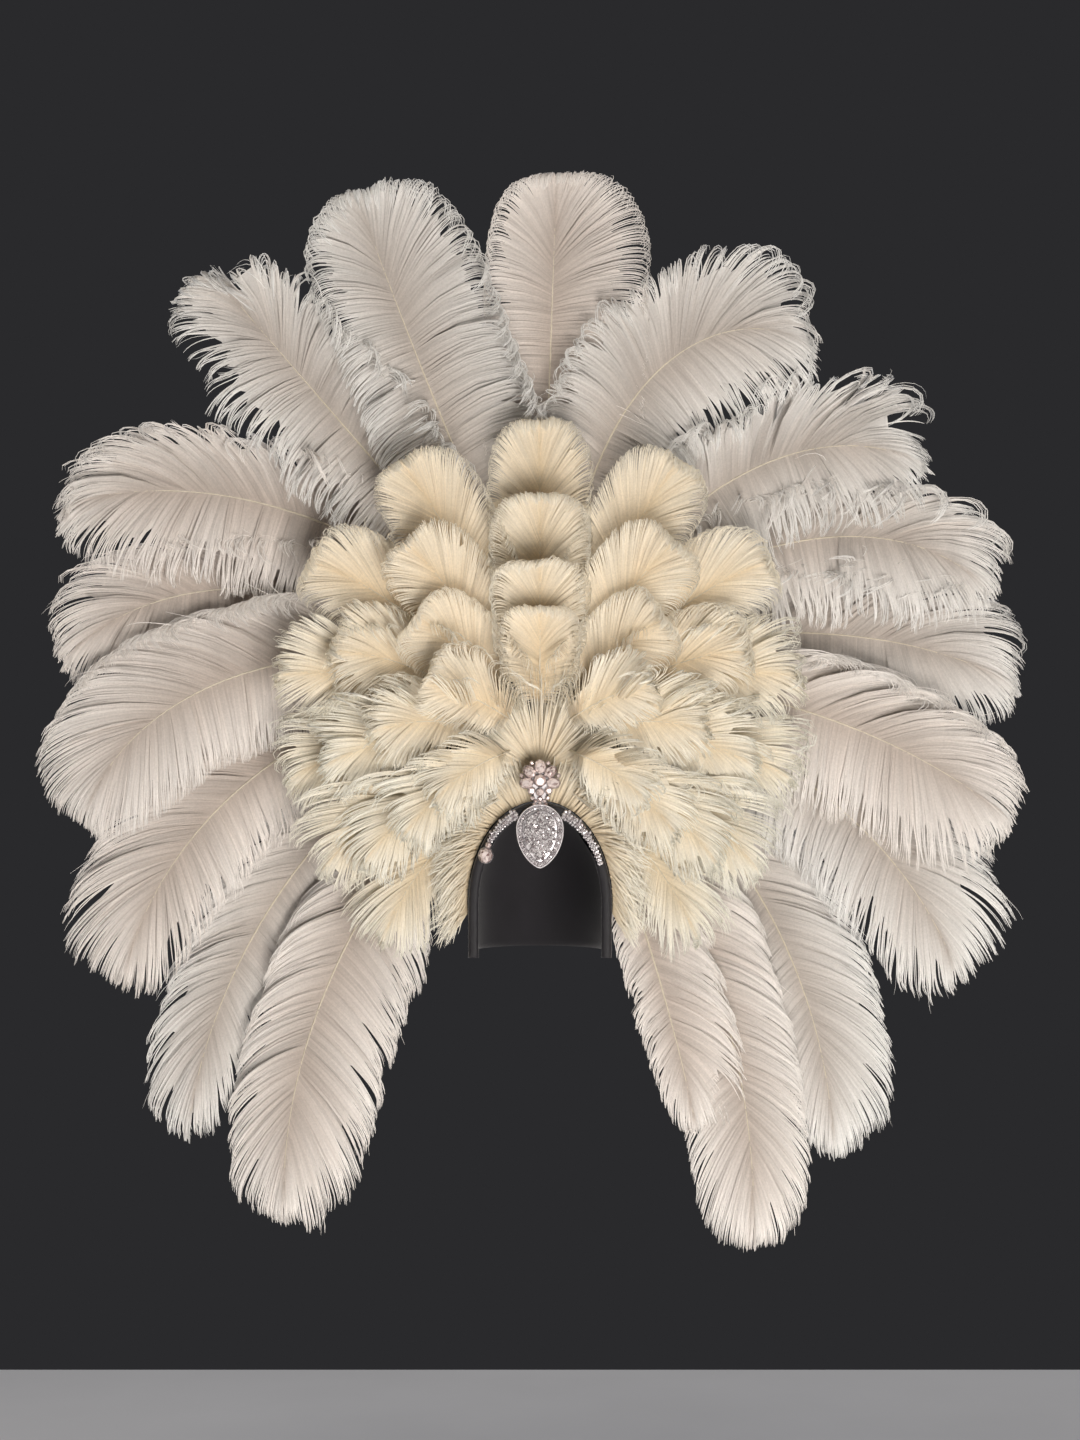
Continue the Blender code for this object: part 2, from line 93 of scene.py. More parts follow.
PLUME_RAMP = 0.18
PLUME_BARE = 0.13
SHIELD_HUB_Z = 0.198
SHIELD_REACH = 0.390
SHIELD_LAYER = 0.009
SHIELD_FIRST = 0.008
SHIELD_DROOP = 38.0
SHIELD_SIDE_ANGLE = 100.0
FEATHER_WIDTH = 0.062
FEATHER_THICKNESS = 0.003
FEATHER_RAMP = 0.25
FEATHER_BARE = 0.14
FEATHER_CURL_START = 0.50
DROOP_LATE = 1.6
BLADE_RISE = 0.24
BLADE_ROUND = 0.68
BLADE_POWER = 2.3
BARB_SWEEP = 0.30
ORNAMENT_BACK = CAP_FRONT - GAP - 2 * RIM_HALF_DEPTH - GAP
PEAR_HALF_WIDTH = 0.0285
PEAR_TOP = 0.030
PEAR_POINT = 0.047
PEAR_LEVEL_Z = 0.090
BROOCH_Z = 0.149
ROOT_DOWN_Z = 0.158
ROOT_DOWN_RING = 0.016
ROOT_DOWN_SPAN = 122.0
ROOT_DOWN_LENGTH = 0.120
RIM_DOWN_LENGTH = 0.085
SPRAY_HALF_WIDTH = 0.0036
DROP_PLACE = (-0.0655, 0.0585)
DROP_HALF_SIZE = (0.0093, 0.0103)

# Small sizes that only the looks have, in metres
CLEARANCE = 0.0005
BARB_FRONT_LIMIT = CAD_BOX[0][1] - 0.012
SEAM_HALF_WIDTH = 0.0022
WIND_PITCH = 0.011
BIND_PITCH = 0.0065
BIND_HALF_WIDTH = 0.0052
BIND_HEIGHT = 0.0078
THREAD_RADIUS = 0.0006
COLLAR_WALL = 0.0005
PLATE_THICKNESS = 0.0018
FLOOR_HALF_SIZE = 1.55

# Tints of the warmest and the coolest barbs
WHITE_TINTS = ((1.0, 0.973, 0.962), (0.968, 0.985, 0.998))
IVORY_TINTS = ((1.0, 0.95, 0.87), (0.99, 1.0, 0.985))

# The plumes: angle about the hub in degrees, turn, how late it turns, root and tip distance as shares
# of FAN_REACH, widths on the anticlockwise and clockwise sides as shares of FAN_WIDTH, layer, and how
# tidily its barbs lie, from 0 for ragged to 1 for combed
PLUMES = [
    # name            angle  turn  late  root  tip   anti  clock layer combed
    ("plume_top",        2,    0,  2.0, 0.15, 0.97, 0.70, 1.00, 2, 1.0),
    ("plume_left_8",   -23,    4,  2.0, 0.15, 1.00, 0.80, 1.00, 3, 0.7),
    ("plume_left_7",   -41,    0,  2.0, 0.15, 1.02, 0.85, 0.75, 2, 0.1),
    ("plume_left_6",   -56,  -54,  1.6, 0.16, 1.06, 1.00, 0.62, 1, 0.3),
    ("plume_left_5",   -74,  -70,  2.2, 0.17, 1.04, 0.90, 0.52, 0, 0.4),
    ("plume_left_4",   -90,  -78,  2.0, 0.18, 1.07, 0.85, 0.66, 2, 0.9),
    ("plume_left_3",  -108,  -64,  1.4, 0.23, 1.15, 0.75, 0.70, 1, 0.4),
    ("plume_left_2",  -128,  -48,  1.2, 0.31, 1.25, 0.62, 0.55, 0, 0.3),
    ("plume_left_1",  -145,  -42,  1.6, 0.38, 1.27, 0.92, 0.58, 2, 0.6),
    ("plume_right_1",   16,  114,  2.4, 0.15, 0.97, 0.80, 0.95, 3, 0.5),
    ("plume_right_2",   45,   78,  2.2, 0.16, 0.94, 0.60, 1.00, 2, 0.2),
    ("plume_right_3",   63,   78,  2.2, 0.16, 1.00, 0.55, 0.90, 1, 0.3),
    ("plume_right_4",   84,   38,  2.0, 0.17, 1.00, 0.66, 0.80, 0, 0.5),
    ("plume_right_5",  101,   32,  1.8, 0.20, 1.03, 0.60, 1.00, 2, 0.5),
    ("plume_right_6",  113,   52,  1.6, 0.24, 1.12, 0.70, 0.85, 1, 0.4),
    ("plume_right_7",  134,   48,  1.2, 0.31, 1.22, 0.68, 0.55, 0, 0.6),
    ("plume_right_8",  149,   36,  1.2, 0.37, 1.28, 0.60, 0.68, 2, 0.7),
    ("plume_right_9",  159,   10,  1.0, 0.41, 1.02, 0.60, 0.34, 3, 0.3),
]

# The tiers of short feathers, back tier first
TIERS = [
    # name       count  span   root  top   side  width curl
    ("feather_a",   13, 136.0, 0.30, 1.00, 0.82, 1.00, 0.030),
    ("feather_b",    9, 117.0, 0.21, 0.77, 0.70, 0.96, 0.030),
    ("feather_c",    7, 116.0, 0.13, 0.56, 0.54, 0.90, 0.028),
    ("feather_d",    5, 110.0, 0.07, 0.42, 0.40, 0.76, 0.024),
]


def srgb(code):
    """Linear red, green and blue of an sRGB hex colour."""
    values = [int(code[k:k + 2], 16) / 255.0 for k in (1, 3, 5)]
    return tuple(v / 12.92 if v <= 0.04045 else ((v + 0.055) / 1.055) ** 2.4 for v in values)


def length_setting(name, description, default, **limits):
    """A property that holds a length in metres."""
    return bpy.props.FloatProperty(name=name, description=description, default=default,
                                   unit="LENGTH", precision=5, **limits)


def colour_setting(name, description, code):
    """A property that holds a colour, given as an sRGB hex value."""
    return bpy.props.FloatVectorProperty(name=name, description=description, default=srgb(code),
                                         subtype="COLOR", min=0.0, max=1.0)


class FeatherSettings(bpy.types.PropertyGroup):
    plume_spacing: length_setting(
        "Plume barb spacing", "Distance between barbs along a plume's quill", 0.00072, min=0.0004)
    feather_spacing: length_setting(
        "Short feather barb spacing", "Distance between barbs along a short quill", 0.00082, min=0.0004)
    barb_width: length_setting("Barb width", "Width of one barb with its down", 0.0023, min=0.0005)
    white_tip: colour_setting("White tips", "Colour of the plumes' thin, bright barb tips", "#FFFCF7")
    # The root colours hold the feathers' own warm tone, darkened as painted shade of the barbs that lie
    # over each other beside the quill.
    white_root_tone_and_shade: colour_setting(
        "White roots", "Warm, faintly pink white beside the plumes' quills", "#C9BEB4")
    ivory_tip: colour_setting("Ivory tips", "Colour of the short feathers' barb tips", "#FFFCF2")
    # Own ivory tone, darkened as painted shade beside the quill.
    ivory_root_tone_and_shade: colour_setting(
        "Ivory roots", "Deeper ivory beside the short feathers' quills", "#EEDDC0")
    quill: colour_setting("Quill", "Pale horn colour of the quills", "#EADFC9")


class ClothSettings(bpy.types.PropertyGroup):
    cloth: colour_setting("Cloth", "Black of the cap, rim and board", "#17151A")
    fold_height: length_setting(
        "Fold height", "How far the rim's wound cloth stands up at its folds", 0.0006, min=0.0)


class StoneSettings(bpy.types.PropertyGroup):
    silver: colour_setting("Silver", "Bright plated setting", "#DEDADC")
    # The bright and dark facet colours are painted glints and painted dark reflections of the room, not
    # colours of the crystal.
    stone_painted_glint: colour_setting("Bright facets", "Facets that send the light back", "#FFFDFD")
    stone_painted_dark_reflection: colour_setting("Dark facets", "Facets that show the stone's depth", "#8A7C7E")
    # The rose pair is painted the same way: painted glints and painted dark reflections over a pale rose
    # crystal.
    rose_painted_glint: colour_setting(
        "Bright rose facets", "Bright facets of the brooch and the drop", "#FCEDE8")
    rose_painted_dark_reflection: colour_setting("Dark rose facets", "Dark facets of the brooch and the drop", "#8A6C68")


class StageSettings(bpy.types.PropertyGroup):
    camera_distance: length_setting("Camera distance", "From the camera to the plane in view", 3.30)
    view_plane: length_setting("Plane in view", "How far it lies in front of the head's middle", 0.11)
    view_height: length_setting(
        "Height in view", "Height that the picture takes in at that plane", 1.728)
    view_middle: length_setting("Middle of view", "Level of the picture's middle", 0.222)
    floor_level: length_setting("Floor level", "Height of the floor below the head opening", -0.95)
    background: colour_setting("Background", "Colour of the studio behind the headdress", "#2A2A2C")


# Materials

def add_node(tree, kind, settings=None, links=None):
    """One node: settings are socket values or node properties, links go from other nodes' sockets."""
    node = tree.nodes.new(kind)
    for key, value in (settings or {}).items():
        if isinstance(key, int) or key in node.inputs:
            node.inputs[key].default_value = value
        else:
            setattr(node, key, value)
    for key, source in (links or {}).items():
        tree.links.new(source, node.inputs[key])
    return node


def new_material(name, finish):
    """A material whose shader has a finish that is the same all over."""
    material = bpy.data.materials.new(name)
    material.use_nodes = True
    tree = material.node_tree
    shader = tree.nodes["Principled BSDF"]
    for socket, value in finish.items():
        shader.inputs[socket].default_value = value
    return material, tree, shader


def shaded(colour, share):
    """A colour times a share, with its alpha."""
    return (*[c * share for c in colour], 1.0)


def mottle(tree, shader, low, high, per_metre, detail=4.0):
    """Cloud a surface between two colours, so many clouds a metre. Returns the cloud and its place."""
    place = add_node(tree, "ShaderNodeTexCoord").outputs["Object"]
    cloud = add_node(tree, "ShaderNodeTexNoise", {"Scale": per_metre, "Detail": detail},
                     {"Vector": place}).outputs["Fac"]
    base = add_node(tree, "ShaderNodeMix", {"data_type": "RGBA", 6: low, 7: high}, {"Factor": cloud})
    tree.links.new(base.outputs[2], shader.inputs["Base Color"])
    return cloud, place


def ostrich_barb(name, root, tip, warm, cool):
    """Bleached ostrich barbs: matt keratin with soft down, painted shade near the quill and painted
    light at the thin tips.
    """
    material, tree, shader = new_material(name, {"Roughness": 0.78, "Specular IOR Level": 0.25,
                                                 "Sheen Weight": 0.35, "Sheen Roughness": 0.45})
    strand = add_node(tree, "ShaderNodeAttribute", {"attribute_name": "strand"})
    tone = add_node(tree, "ShaderNodeSeparateColor", links={"Color": strand.outputs["Color"]}).outputs
    # Painted shade and light: the colour runs from the root colour, darkened as the shade of the layered
    # barbs by the quill, to the tip colour, paler as light shining through the thin tips.
    along = add_node(tree, "ShaderNodeMapRange", {"From Min": 0.05, "From Max": 0.85},
                     {"Value": tone["Green"]})
    base = add_node(tree, "ShaderNodeMix",
                    {"data_type": "RGBA", 6: shaded(root, 1.0), 7: shaded(tip, 1.0)},
                    {"Factor": along.outputs["Result"]})
    shade = add_node(tree, "ShaderNodeMapRange", {"To Min": 0.84, "To Max": 1.08},
                     {"Value": tone["Red"]})
    # Flecks of down, 420 to a metre, so about 2.4 mm each
    down = add_node(tree, "ShaderNodeTexNoise", {"Scale": 420.0, "Detail": 3.0, "Roughness": 0.6},
                    {"Vector": add_node(tree, "ShaderNodeTexCoord").outputs["Object"]})
    fleck = add_node(tree, "ShaderNodeMapRange",
                     {"From Min": 0.3, "From Max": 0.7, "To Min": 0.90, "To Max": 1.04},
                     {"Value": down.outputs["Fac"]})
    level = add_node(tree, "ShaderNodeMath", {"operation": "MULTIPLY"},
                     {0: shade.outputs["Result"], 1: fleck.outputs["Result"]})
    tint = add_node(tree, "ShaderNodeMix",
                    {"data_type": "RGBA", 6: shaded(warm, 1.0), 7: shaded(cool, 1.0)},
                    {"Factor": tone["Blue"]})
    scaled = add_node(tree, "ShaderNodeVectorMath", {"operation": "SCALE"},
                      {0: base.outputs[2], "Scale": level.outputs["Value"]})
    colour = add_node(tree, "ShaderNodeVectorMath", {"operation": "MULTIPLY"},
                      {0: scaled.outputs["Vector"], 1: tint.outputs[2]})
    tree.links.new(colour.outputs["Vector"], shader.inputs["Base Color"])
    bump = add_node(tree, "ShaderNodeBump", {"Strength": 0.35, "Distance": 0.0006},
                    {"Height": down.outputs["Fac"]})
    tree.links.new(bump.outputs["Normal"], shader.inputs["Normal"])
    return material


def quill_horn(name, colour):
    """Scraped keratin quill: smooth pale horn with faint streaks."""
    material, tree, shader = new_material(name, {"Roughness": 0.38})
    mottle(tree, shader, shaded(colour, 0.72), shaded(colour, 1.0), 160.0)
    return material


def black_knit(name, colour, thread_mm, roughness, sheen):
    """Black cloth: threads drawn coarse enough to show, with a low sheen on its folds."""
    material, tree, shader = new_material(name, {"Roughness": roughness, "Sheen Weight": sheen,
                                                 "Sheen Roughness": 0.4})
    place = mottle(tree, shader, shaded(colour, 0.6), shaded(colour, 1.6), 35.0, 5.0)[1]
    # A wave texture of scale 314 has one band to a millimetre
    threads = {"Scale": 314.0 / thread_mm, "Distortion": 1.2, "Detail": 1.0}
    weft, warp = [add_node(tree, "ShaderNodeTexWave", {**threads, "bands_direction": way},
                           {"Vector": place}).outputs["Fac"] for way in "XZ"]
    weave = add_node(tree, "ShaderNodeMath", {"operation": "MULTIPLY"}, {0: weft, 1: warp})
    bump = add_node(tree, "ShaderNodeBump", {"Strength": 0.5, "Distance": 0.0004},
                    {"Height": weave.outputs["Value"]})
    tree.links.new(bump.outputs["Normal"], shader.inputs["Normal"])
    return material


def plated_silver(name, colour):
    """Cast setting in bright silver plate, a little darker where it was not polished."""
    material, tree, shader = new_material(name, {"Roughness": 0.30, "Metallic": 1.0})
    tarnish = mottle(tree, shader, shaded(colour, 0.70), shaded(colour, 1.0), 260.0)[0]
    rough = add_node(tree, "ShaderNodeMapRange", {"To Min": 0.24, "To Max": 0.46}, {"Value": tarnish})
    tree.links.new(rough.outputs["Result"], shader.inputs["Roughness"])
    return material


def foiled_crystal(name, light, dark):
    """Machine-cut crystal with a foil back: each facet's colour is painted light or dark, as a painted
    reflection of the room.
    """
    material, tree, shader = new_material(name, {"Roughness": 0.14, "Metallic": 0.25,
                                                 "Coat Weight": 0.5, "Coat Roughness": 0.06})
    facet = add_node(tree, "ShaderNodeAttribute", {"attribute_name": "facet"})
    tone = add_node(tree, "ShaderNodeSeparateColor", links={"Color": facet.outputs["Color"]})
    # Painted reflections: the facet tone mixes between the painted dark reflection and the painted
    # glint.
    base = add_node(tree, "ShaderNodeMix",
                    {"data_type": "RGBA", 6: shaded(dark, 1.0), 7: shaded(light, 1.0)},
                    {"Factor": tone.outputs["Red"]})
    tree.links.new(base.outputs[2], shader.inputs["Base Color"])
    return material


def studio_floor(name):
    """Matt painted floor, pale grey with faint unevenness."""
    material, tree, shader = new_material(name, {"Roughness": 0.9})
    mottle(tree, shader, shaded(srgb("#C9C7C4"), 1.0), shaded(srgb("#D6D4D1"), 1.0), 3.0)
    return material


# Mesh pieces

def mesh_piece(name, points, faces, material, slot, smooth=True):
    """An object from its points and its faces, which all have the same number of corners."""
    points = np.asarray(points, dtype=np.float32)
    faces = np.asarray(faces, dtype=np.int32)
    mesh = bpy.data.meshes.new(name)
    mesh.vertices.add(len(points))
    mesh.vertices.foreach_set("co", points.ravel())
    mesh.loops.add(faces.size)
    mesh.loops.foreach_set("vertex_index", faces.ravel())
    mesh.polygons.add(len(faces))
    starts = np.arange(0, faces.size, faces.shape[1], dtype=np.int32)
    mesh.polygons.foreach_set("loop_start", starts)
    mesh.polygons.foreach_set("use_smooth", np.full(len(faces), smooth))
    mesh.update(calc_edges=True)
    mesh.validate()
    mesh.materials.append(material)
    item = bpy.data.objects.new(name, mesh)
    bpy.context.scene.collection.objects.link(item)
    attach(item, "root")
    return item


def paint(item, name, domain, tones):
    """Store a tone for each point or corner, which the materials read."""
    layer = item.data.attributes.new(name, "FLOAT_COLOR", domain)
    layer.data.foreach_set("color", tones.astype(np.float32).ravel())


def join(parts):
    """Points and faces of several parts as one."""
    base = np.cumsum([0] + [len(part[0]) for part in parts])
    return (np.concatenate([part[0] for part in parts]),
            np.concatenate([part[1] + shift for part, shift in zip(parts, base)]))


def tube_faces(rings, sides, closed_ends=True):
    """Quads of a tube whose points come ring by ring; quads close its ends where sides is even."""
    faces = []
    for k in range(rings - 1):
        for j in range(sides):
            n = (j + 1) % sides
            faces.append((k * sides + j, k * sides + n, (k + 1) * sides + n, (k + 1) * sides + j))
    last = (rings - 1) * sides
    if closed_ends:
        for j in range(1, sides - 2, 2):
            faces.append((0, j + 2, j + 1, j))
            faces.append((last, last + j, last + j + 1, last + j + 2))
    return faces


def unit(vectors):
    """Vectors brought to a length of one."""
    return vectors / np.maximum(np.linalg.norm(vectors, axis=-1, keepdims=True), 1e-9)


def dot(a, b):
    """Dot products of two lists of vectors, pair by pair."""
    return np.einsum("bj,bj->b", a, b)


def smooth_step(value):
    """From 0 to 1 with soft ends."""
    value = np.clip(value, 0.0, 1.0)
    return value * value * (3.0 - 2.0 * value)


# Feathers

def fan_lean(x, z):
    """The fan is a shallow bowl whose edge leans forward."""
    reach = np.hypot(x, z - FAN_HUB_Z)
    lean = np.clip((reach - FAN_LEAN_START) / FAN_LEAN_RUN, 0.0, LEAN_LIMIT)
    return -FAN_LEAN * lean * lean


def plume_depth(layer):
    """How deep a plume lies in its layer behind the board, at a share of its quill."""
    back = BOARD_FRONT + BOARD_THICKNESS
    seat = back + GAP + 0.6 * PLUME_THICKNESS
    plane = back + PLUME_THICKNESS + (3 - layer) * FAN_LAYER

    def depth(x, z, share):
        return seat + (plane - seat) * smooth_step(share / PLUME_RAMP) + fan_lean(x, z)
    return depth


def tier_tip(top, side, x, z):
    """How far a tier reaches from its hub in the direction of a point."""
    turned = np.degrees(np.arctan2(np.abs(x), z - SHIELD_HUB_Z))
    return SHIELD_REACH * (side + (top - side) * smooth_step(1.0 - turned / SHIELD_SIDE_ANGLE))


def feather_depth(tier, sub_layer, top, side, curl):
    """How deep a short feather lies in front of the board, with its end bowed forward."""
    seat = BOARD_FRONT - GAP - 0.42 * FEATHER_THICKNESS
    plane = BOARD_FRONT - SHIELD_FIRST - (2 * tier + sub_layer) * SHIELD_LAYER

    def depth(x, z, share):
        reach = np.hypot(x, z - SHIELD_HUB_Z) / tier_tip(top, side, x, z)
        bow = np.clip((reach - FEATHER_CURL_START) / (1.0 - FEATHER_CURL_START), 0.0, LEAN_LIMIT)
        rise = smooth_step(share / FEATHER_RAMP)
        return seat + (plane - seat) * rise + fan_lean(x, z) - curl * bow * bow
    return depth


def blade_rise(share, bare):
    """Barb length near the root as a share of the widest."""
    rise = np.clip((share - bare) / BLADE_RISE, 0.0, 1.0)
    return 1.0 - (1.0 - rise) ** 2


class Quill:
    """The middle line of a feather: points, directions, sides and shares at even steps from its root."""

    def __init__(self, start, angle, turn, late, length, depth):
        steps = 240
        share = np.linspace(0.0, 1.0, steps + 1)
        heading = np.radians(angle + turn * share ** late)
        x, z = (begin + np.concatenate(([0.0], np.cumsum(way(heading[:-1])))) * length / steps
                for begin, way in zip(start, (np.sin, np.cos)))
        self.shares = share
        self.length = length
        self.points = np.stack((x, depth(x, z, share), z), axis=1)
        self.sides = np.stack((np.cos(heading), np.zeros(steps + 1), -np.sin(heading)), axis=1)
        self.alongs = unit(np.gradient(self.points, axis=0))

    def at(self, shares, what):
        """The points, sides or directions at some shares of the quill's length."""
        values = getattr(self, what)
        return np.stack([np.interp(shares, self.shares, values[:, k]) for k in range(3)], axis=-1)


def beyond_outline(s, c, full, length, bare):
    """How far points of a vane lie from the quill: 1 on the outline that the solid has too."""
    c = np.abs(c)
    s = s - BARB_SWEEP * c
    middle = BLADE_ROUND * length
    side = c / np.maximum(full * blade_rise(s / length, bare - 0.05), 0.003)
    past = np.maximum((s - middle) / (length - middle), 0.0)
    dome = ((c / full) ** BLADE_POWER + past ** BLADE_POWER) ** (1.0 / BLADE_POWER)
    return np.where(s > middle, dome, side)


def run_barbs(knots, reach, heading, front, weight, curl_from, radius):
    """Follow barbs through their knots: they sag under their weight, then their ends roll forward.

    Each barb has its knots along its length, its length, the way it sets out, the way its end rolls, its
    weight, where it begins to roll and the radius of the roll."""
    path = np.zeros((knots.shape[0], knots.shape[1], 3))
    over = unit(front - dot(front, heading)[:, None] * heading)
    for k in range(knots.shape[1] - 1):
        step = knots[:, k + 1] - knots[:, k]
        place = 0.5 * (knots[:, k + 1] + knots[:, k]) / reach
        rolled = np.clip(knots[:, k + 1] - curl_from, 0.0, step)
        sag = weight * (0.25 + 1.5 * np.minimum(place, 1.0) ** 2) * (step - rolled) / reach
        heading = unit(heading + sag[:, None] * DOWN)
        over = unit(over - dot(over, heading)[:, None] * heading)
        turned = (rolled / radius)[:, None]
        half = 0.5 * turned
        path[:, k + 1] = path[:, k] + (heading * np.cos(half) + over * np.sin(half)) * step[:, None]
        heading, over = (heading * np.cos(turned) + over * np.sin(turned),
                         over * np.cos(turned) - heading * np.sin(turned))
    return path


def grow_barbs(quill, side, full, spacing, combed, sweep, style, rng):
    """Paths of the barbs on one side of a quill, as they lie combed and as they lie in locks."""
    bare, last = style["bare"], style["last"]
    count = int(quill.length * (last - bare) / spacing)
    share = bare + (last - bare) * (np.arange(count) + rng.uniform(-0.4, 0.4, count)) / count
    share = np.clip(share, bare, last)

    # The quill's own directions where each barb stands
    root = quill.at(share, "points")
    along = unit(quill.at(share, "alongs"))
    across = unit(quill.at(share, "sides")) * side
    front = np.cross(across * side, along)

    # Barbs of one lock or tuft share their draws; strays go their own way
    loose = 1.0 - combed
    lock_size = style["lock"] * rng.uniform(0.6, 1.5, count + 1)
    lock = np.cumsum(spacing / lock_size[:count]).astype(int)
    tuft = np.cumsum(spacing / (style["tuft"] * rng.uniform(0.7, 1.4, count))).astype(int)
    wild = rng.normal(0.0, 1.0, (tuft.max() + 1, 4))[tuft]
    curly = rng.normal(0.0, 1.0, (lock.max() + 1, 3))[lock]

    stray = rng.uniform(0.0, 1.0, count) < style["stray"] * (0.35 + loose)

    # The angles at which barbs leave the quill
    up = across[:, 2]
    leave = style["leave"] - 30.0 * np.clip(up, 0.0, 1.0) + 6.0 * np.clip(-up, 0.0, 1.0)
    leave += 5.0 * along[:, 2] * np.where(along[:, 2] < 0.0, 3.0, 1.0)
    closing = smooth_step((share - style["close"]) / (last - style["close"]))
    leave = 3.0 + (leave - 3.0) * (1.0 - closing)
    leave = np.radians(leave + 3.0 * loose * wild[:, 0])
    lift = style["lift"] + (2.0 + 5.0 * loose) * wild[:, 1]
    lift = np.radians(np.where(stray, lift + rng.uniform(2.0, 9.0, count), lift))
    heading = np.cos(leave)[:, None] * along
    outward = np.cos(lift)[:, None] * across + np.sin(lift)[:, None] * front
    heading += np.sin(leave)[:, None] * outward
    weight = style["weight"] * (1.0 + 0.6 * loose + 0.25 * loose * wild[:, 2])

    # The length at which the sagging barb comes to the outline, by halving; 9.0 is past its end
    knots = np.tile(np.linspace(0.0, 1.0, 9), (count, 1))
    flat = run_barbs(knots, np.ones(count), heading, front, weight, np.full(count, 9.0), np.ones(count))
    ahead = np.einsum("bkj,bj->bk", flat, along)
    aside = np.einsum("bkj,bj->bk", flat, across)
    foot = (share * quill.length)[:, None]
    low, high = np.full(count, 0.1 * full), np.full(count, 2.6 * full)
    for _ in range(14):
        middle = 0.5 * (low + high)
        far = beyond_outline(foot + ahead * middle[:, None], aside * middle[:, None], full,
                             quill.length, bare)
        outside = far.max(axis=1) > 1.0
        high = np.where(outside, middle, high)
        low = np.where(outside, low, middle)
    uneven = (0.025 + 0.07 * loose) * np.abs(rng.normal(0.0, 1.0, count))
    reach = low * (1.01 - uneven + (0.01 + 0.04 * loose) * wild[:, 3] + 0.03 * loose * curly[:, 0])

    # The rolled end: ends that point up roll over, and ends that hang turn little
    tip_up = np.clip(0.5 * (heading[:, 2] + unit(flat[:, -1] - flat[:, -2])[:, 2]), -1.0, 1.0)
    upward = smooth_step(tip_up + 0.55)
    turn = style["turn_down"] + (style["turn_up"] - style["turn_down"]) * upward
    turn = turn * np.clip(1.0 + 0.40 * loose * curly[:, 1] + 0.03 * curly[:, 2], 0.25, 1.7)
    radius = style["radius"] * np.clip(1.0 + 0.40 * loose * curly[:, 2], 0.45, 1.9)
    hook = style["hook"] * loose * (0.7 * curly[:, 0] + 0.5 * wild[:, 0])
    hook = np.where(stray, rng.normal(0.0, 1.3, count), hook)
    over = front + style["drape"] * DOWN + hook[:, None] * along + sweep * quill.at(share, "sides")
    radius = np.minimum(radius, 0.35 * reach)
    turn = np.where(stray, 0.6 * turn, turn)
    radius = np.where(stray, rng.uniform(1.2, 2.2, count) * radius, radius)
    reach = np.where(stray, reach * rng.uniform(0.9, 1.10, count), reach)
    whole = reach - radius * np.sin(np.minimum(turn, 0.5 * math.pi)) + radius * turn
    curl_from = whole - radius * turn
    bend_from = np.minimum(curl_from, 0.55 * whole)
    steps, early = style["steps"], style["early"]
    straight = bend_from[:, None] * np.linspace(0.0, 1.0, early + 1)[None, :]
    bent = (whole - bend_from)[:, None] * np.linspace(0.0, 1.0, steps - early + 1)[None, 1:]
    knots = np.concatenate((straight, bend_from[:, None] + bent), axis=1)
    path = run_barbs(knots, reach, heading, over, weight, curl_from, radius)
    path += root[:, None, :]
    combed_path = path.copy()

    # Neighbouring barbs cling together in locks, and locks lean together in tufts
    place = np.minimum(knots / whole[:, None], 1.0)
    locks = (lock, style["cling"] * (0.08 + 0.92 * loose), 0.35)
    tufts = (tuft, 0.16 * loose, 0.15)
    for group, hold, begin in (locks, tufts):
        starts = np.searchsorted(group, np.arange(group.max() + 2))
        middle = np.minimum((starts[:-1] + starts[1:]) // 2, count - 1)[group]
        pull = hold * smooth_step((place - begin) / (1.0 - begin))
        pull *= np.where(stray, 0.15, 1.0)[:, None]
        path += pull[:, :, None] * (path[middle] - path)
    waves = rng.uniform(3.0, 8.0, count)[:, None] * place + rng.uniform(0.0, 6.3, count)[:, None]
    sway = (0.0010 + 0.0016 * loose) * np.sin(waves) * place ** 1.5 + 0.0006 * curly[:, :1] * place
    sway += (0.0006 + 0.0034 * loose) * np.sin(7.0 * place + 9.0 * curly[:, :1]) * place ** 1.5
    path += sway[:, :, None] * along[:, None, :]
    lay = rng.normal(0.0, 1.0, count)[:, None] * (0.0003 + 0.0008 * place)
    path += (lay + 0.0007 * np.sin(waves + 1.0) * place)[:, :, None] * front[:, None, :]
    return path, combed_path, front, lock, tuft, stray, place


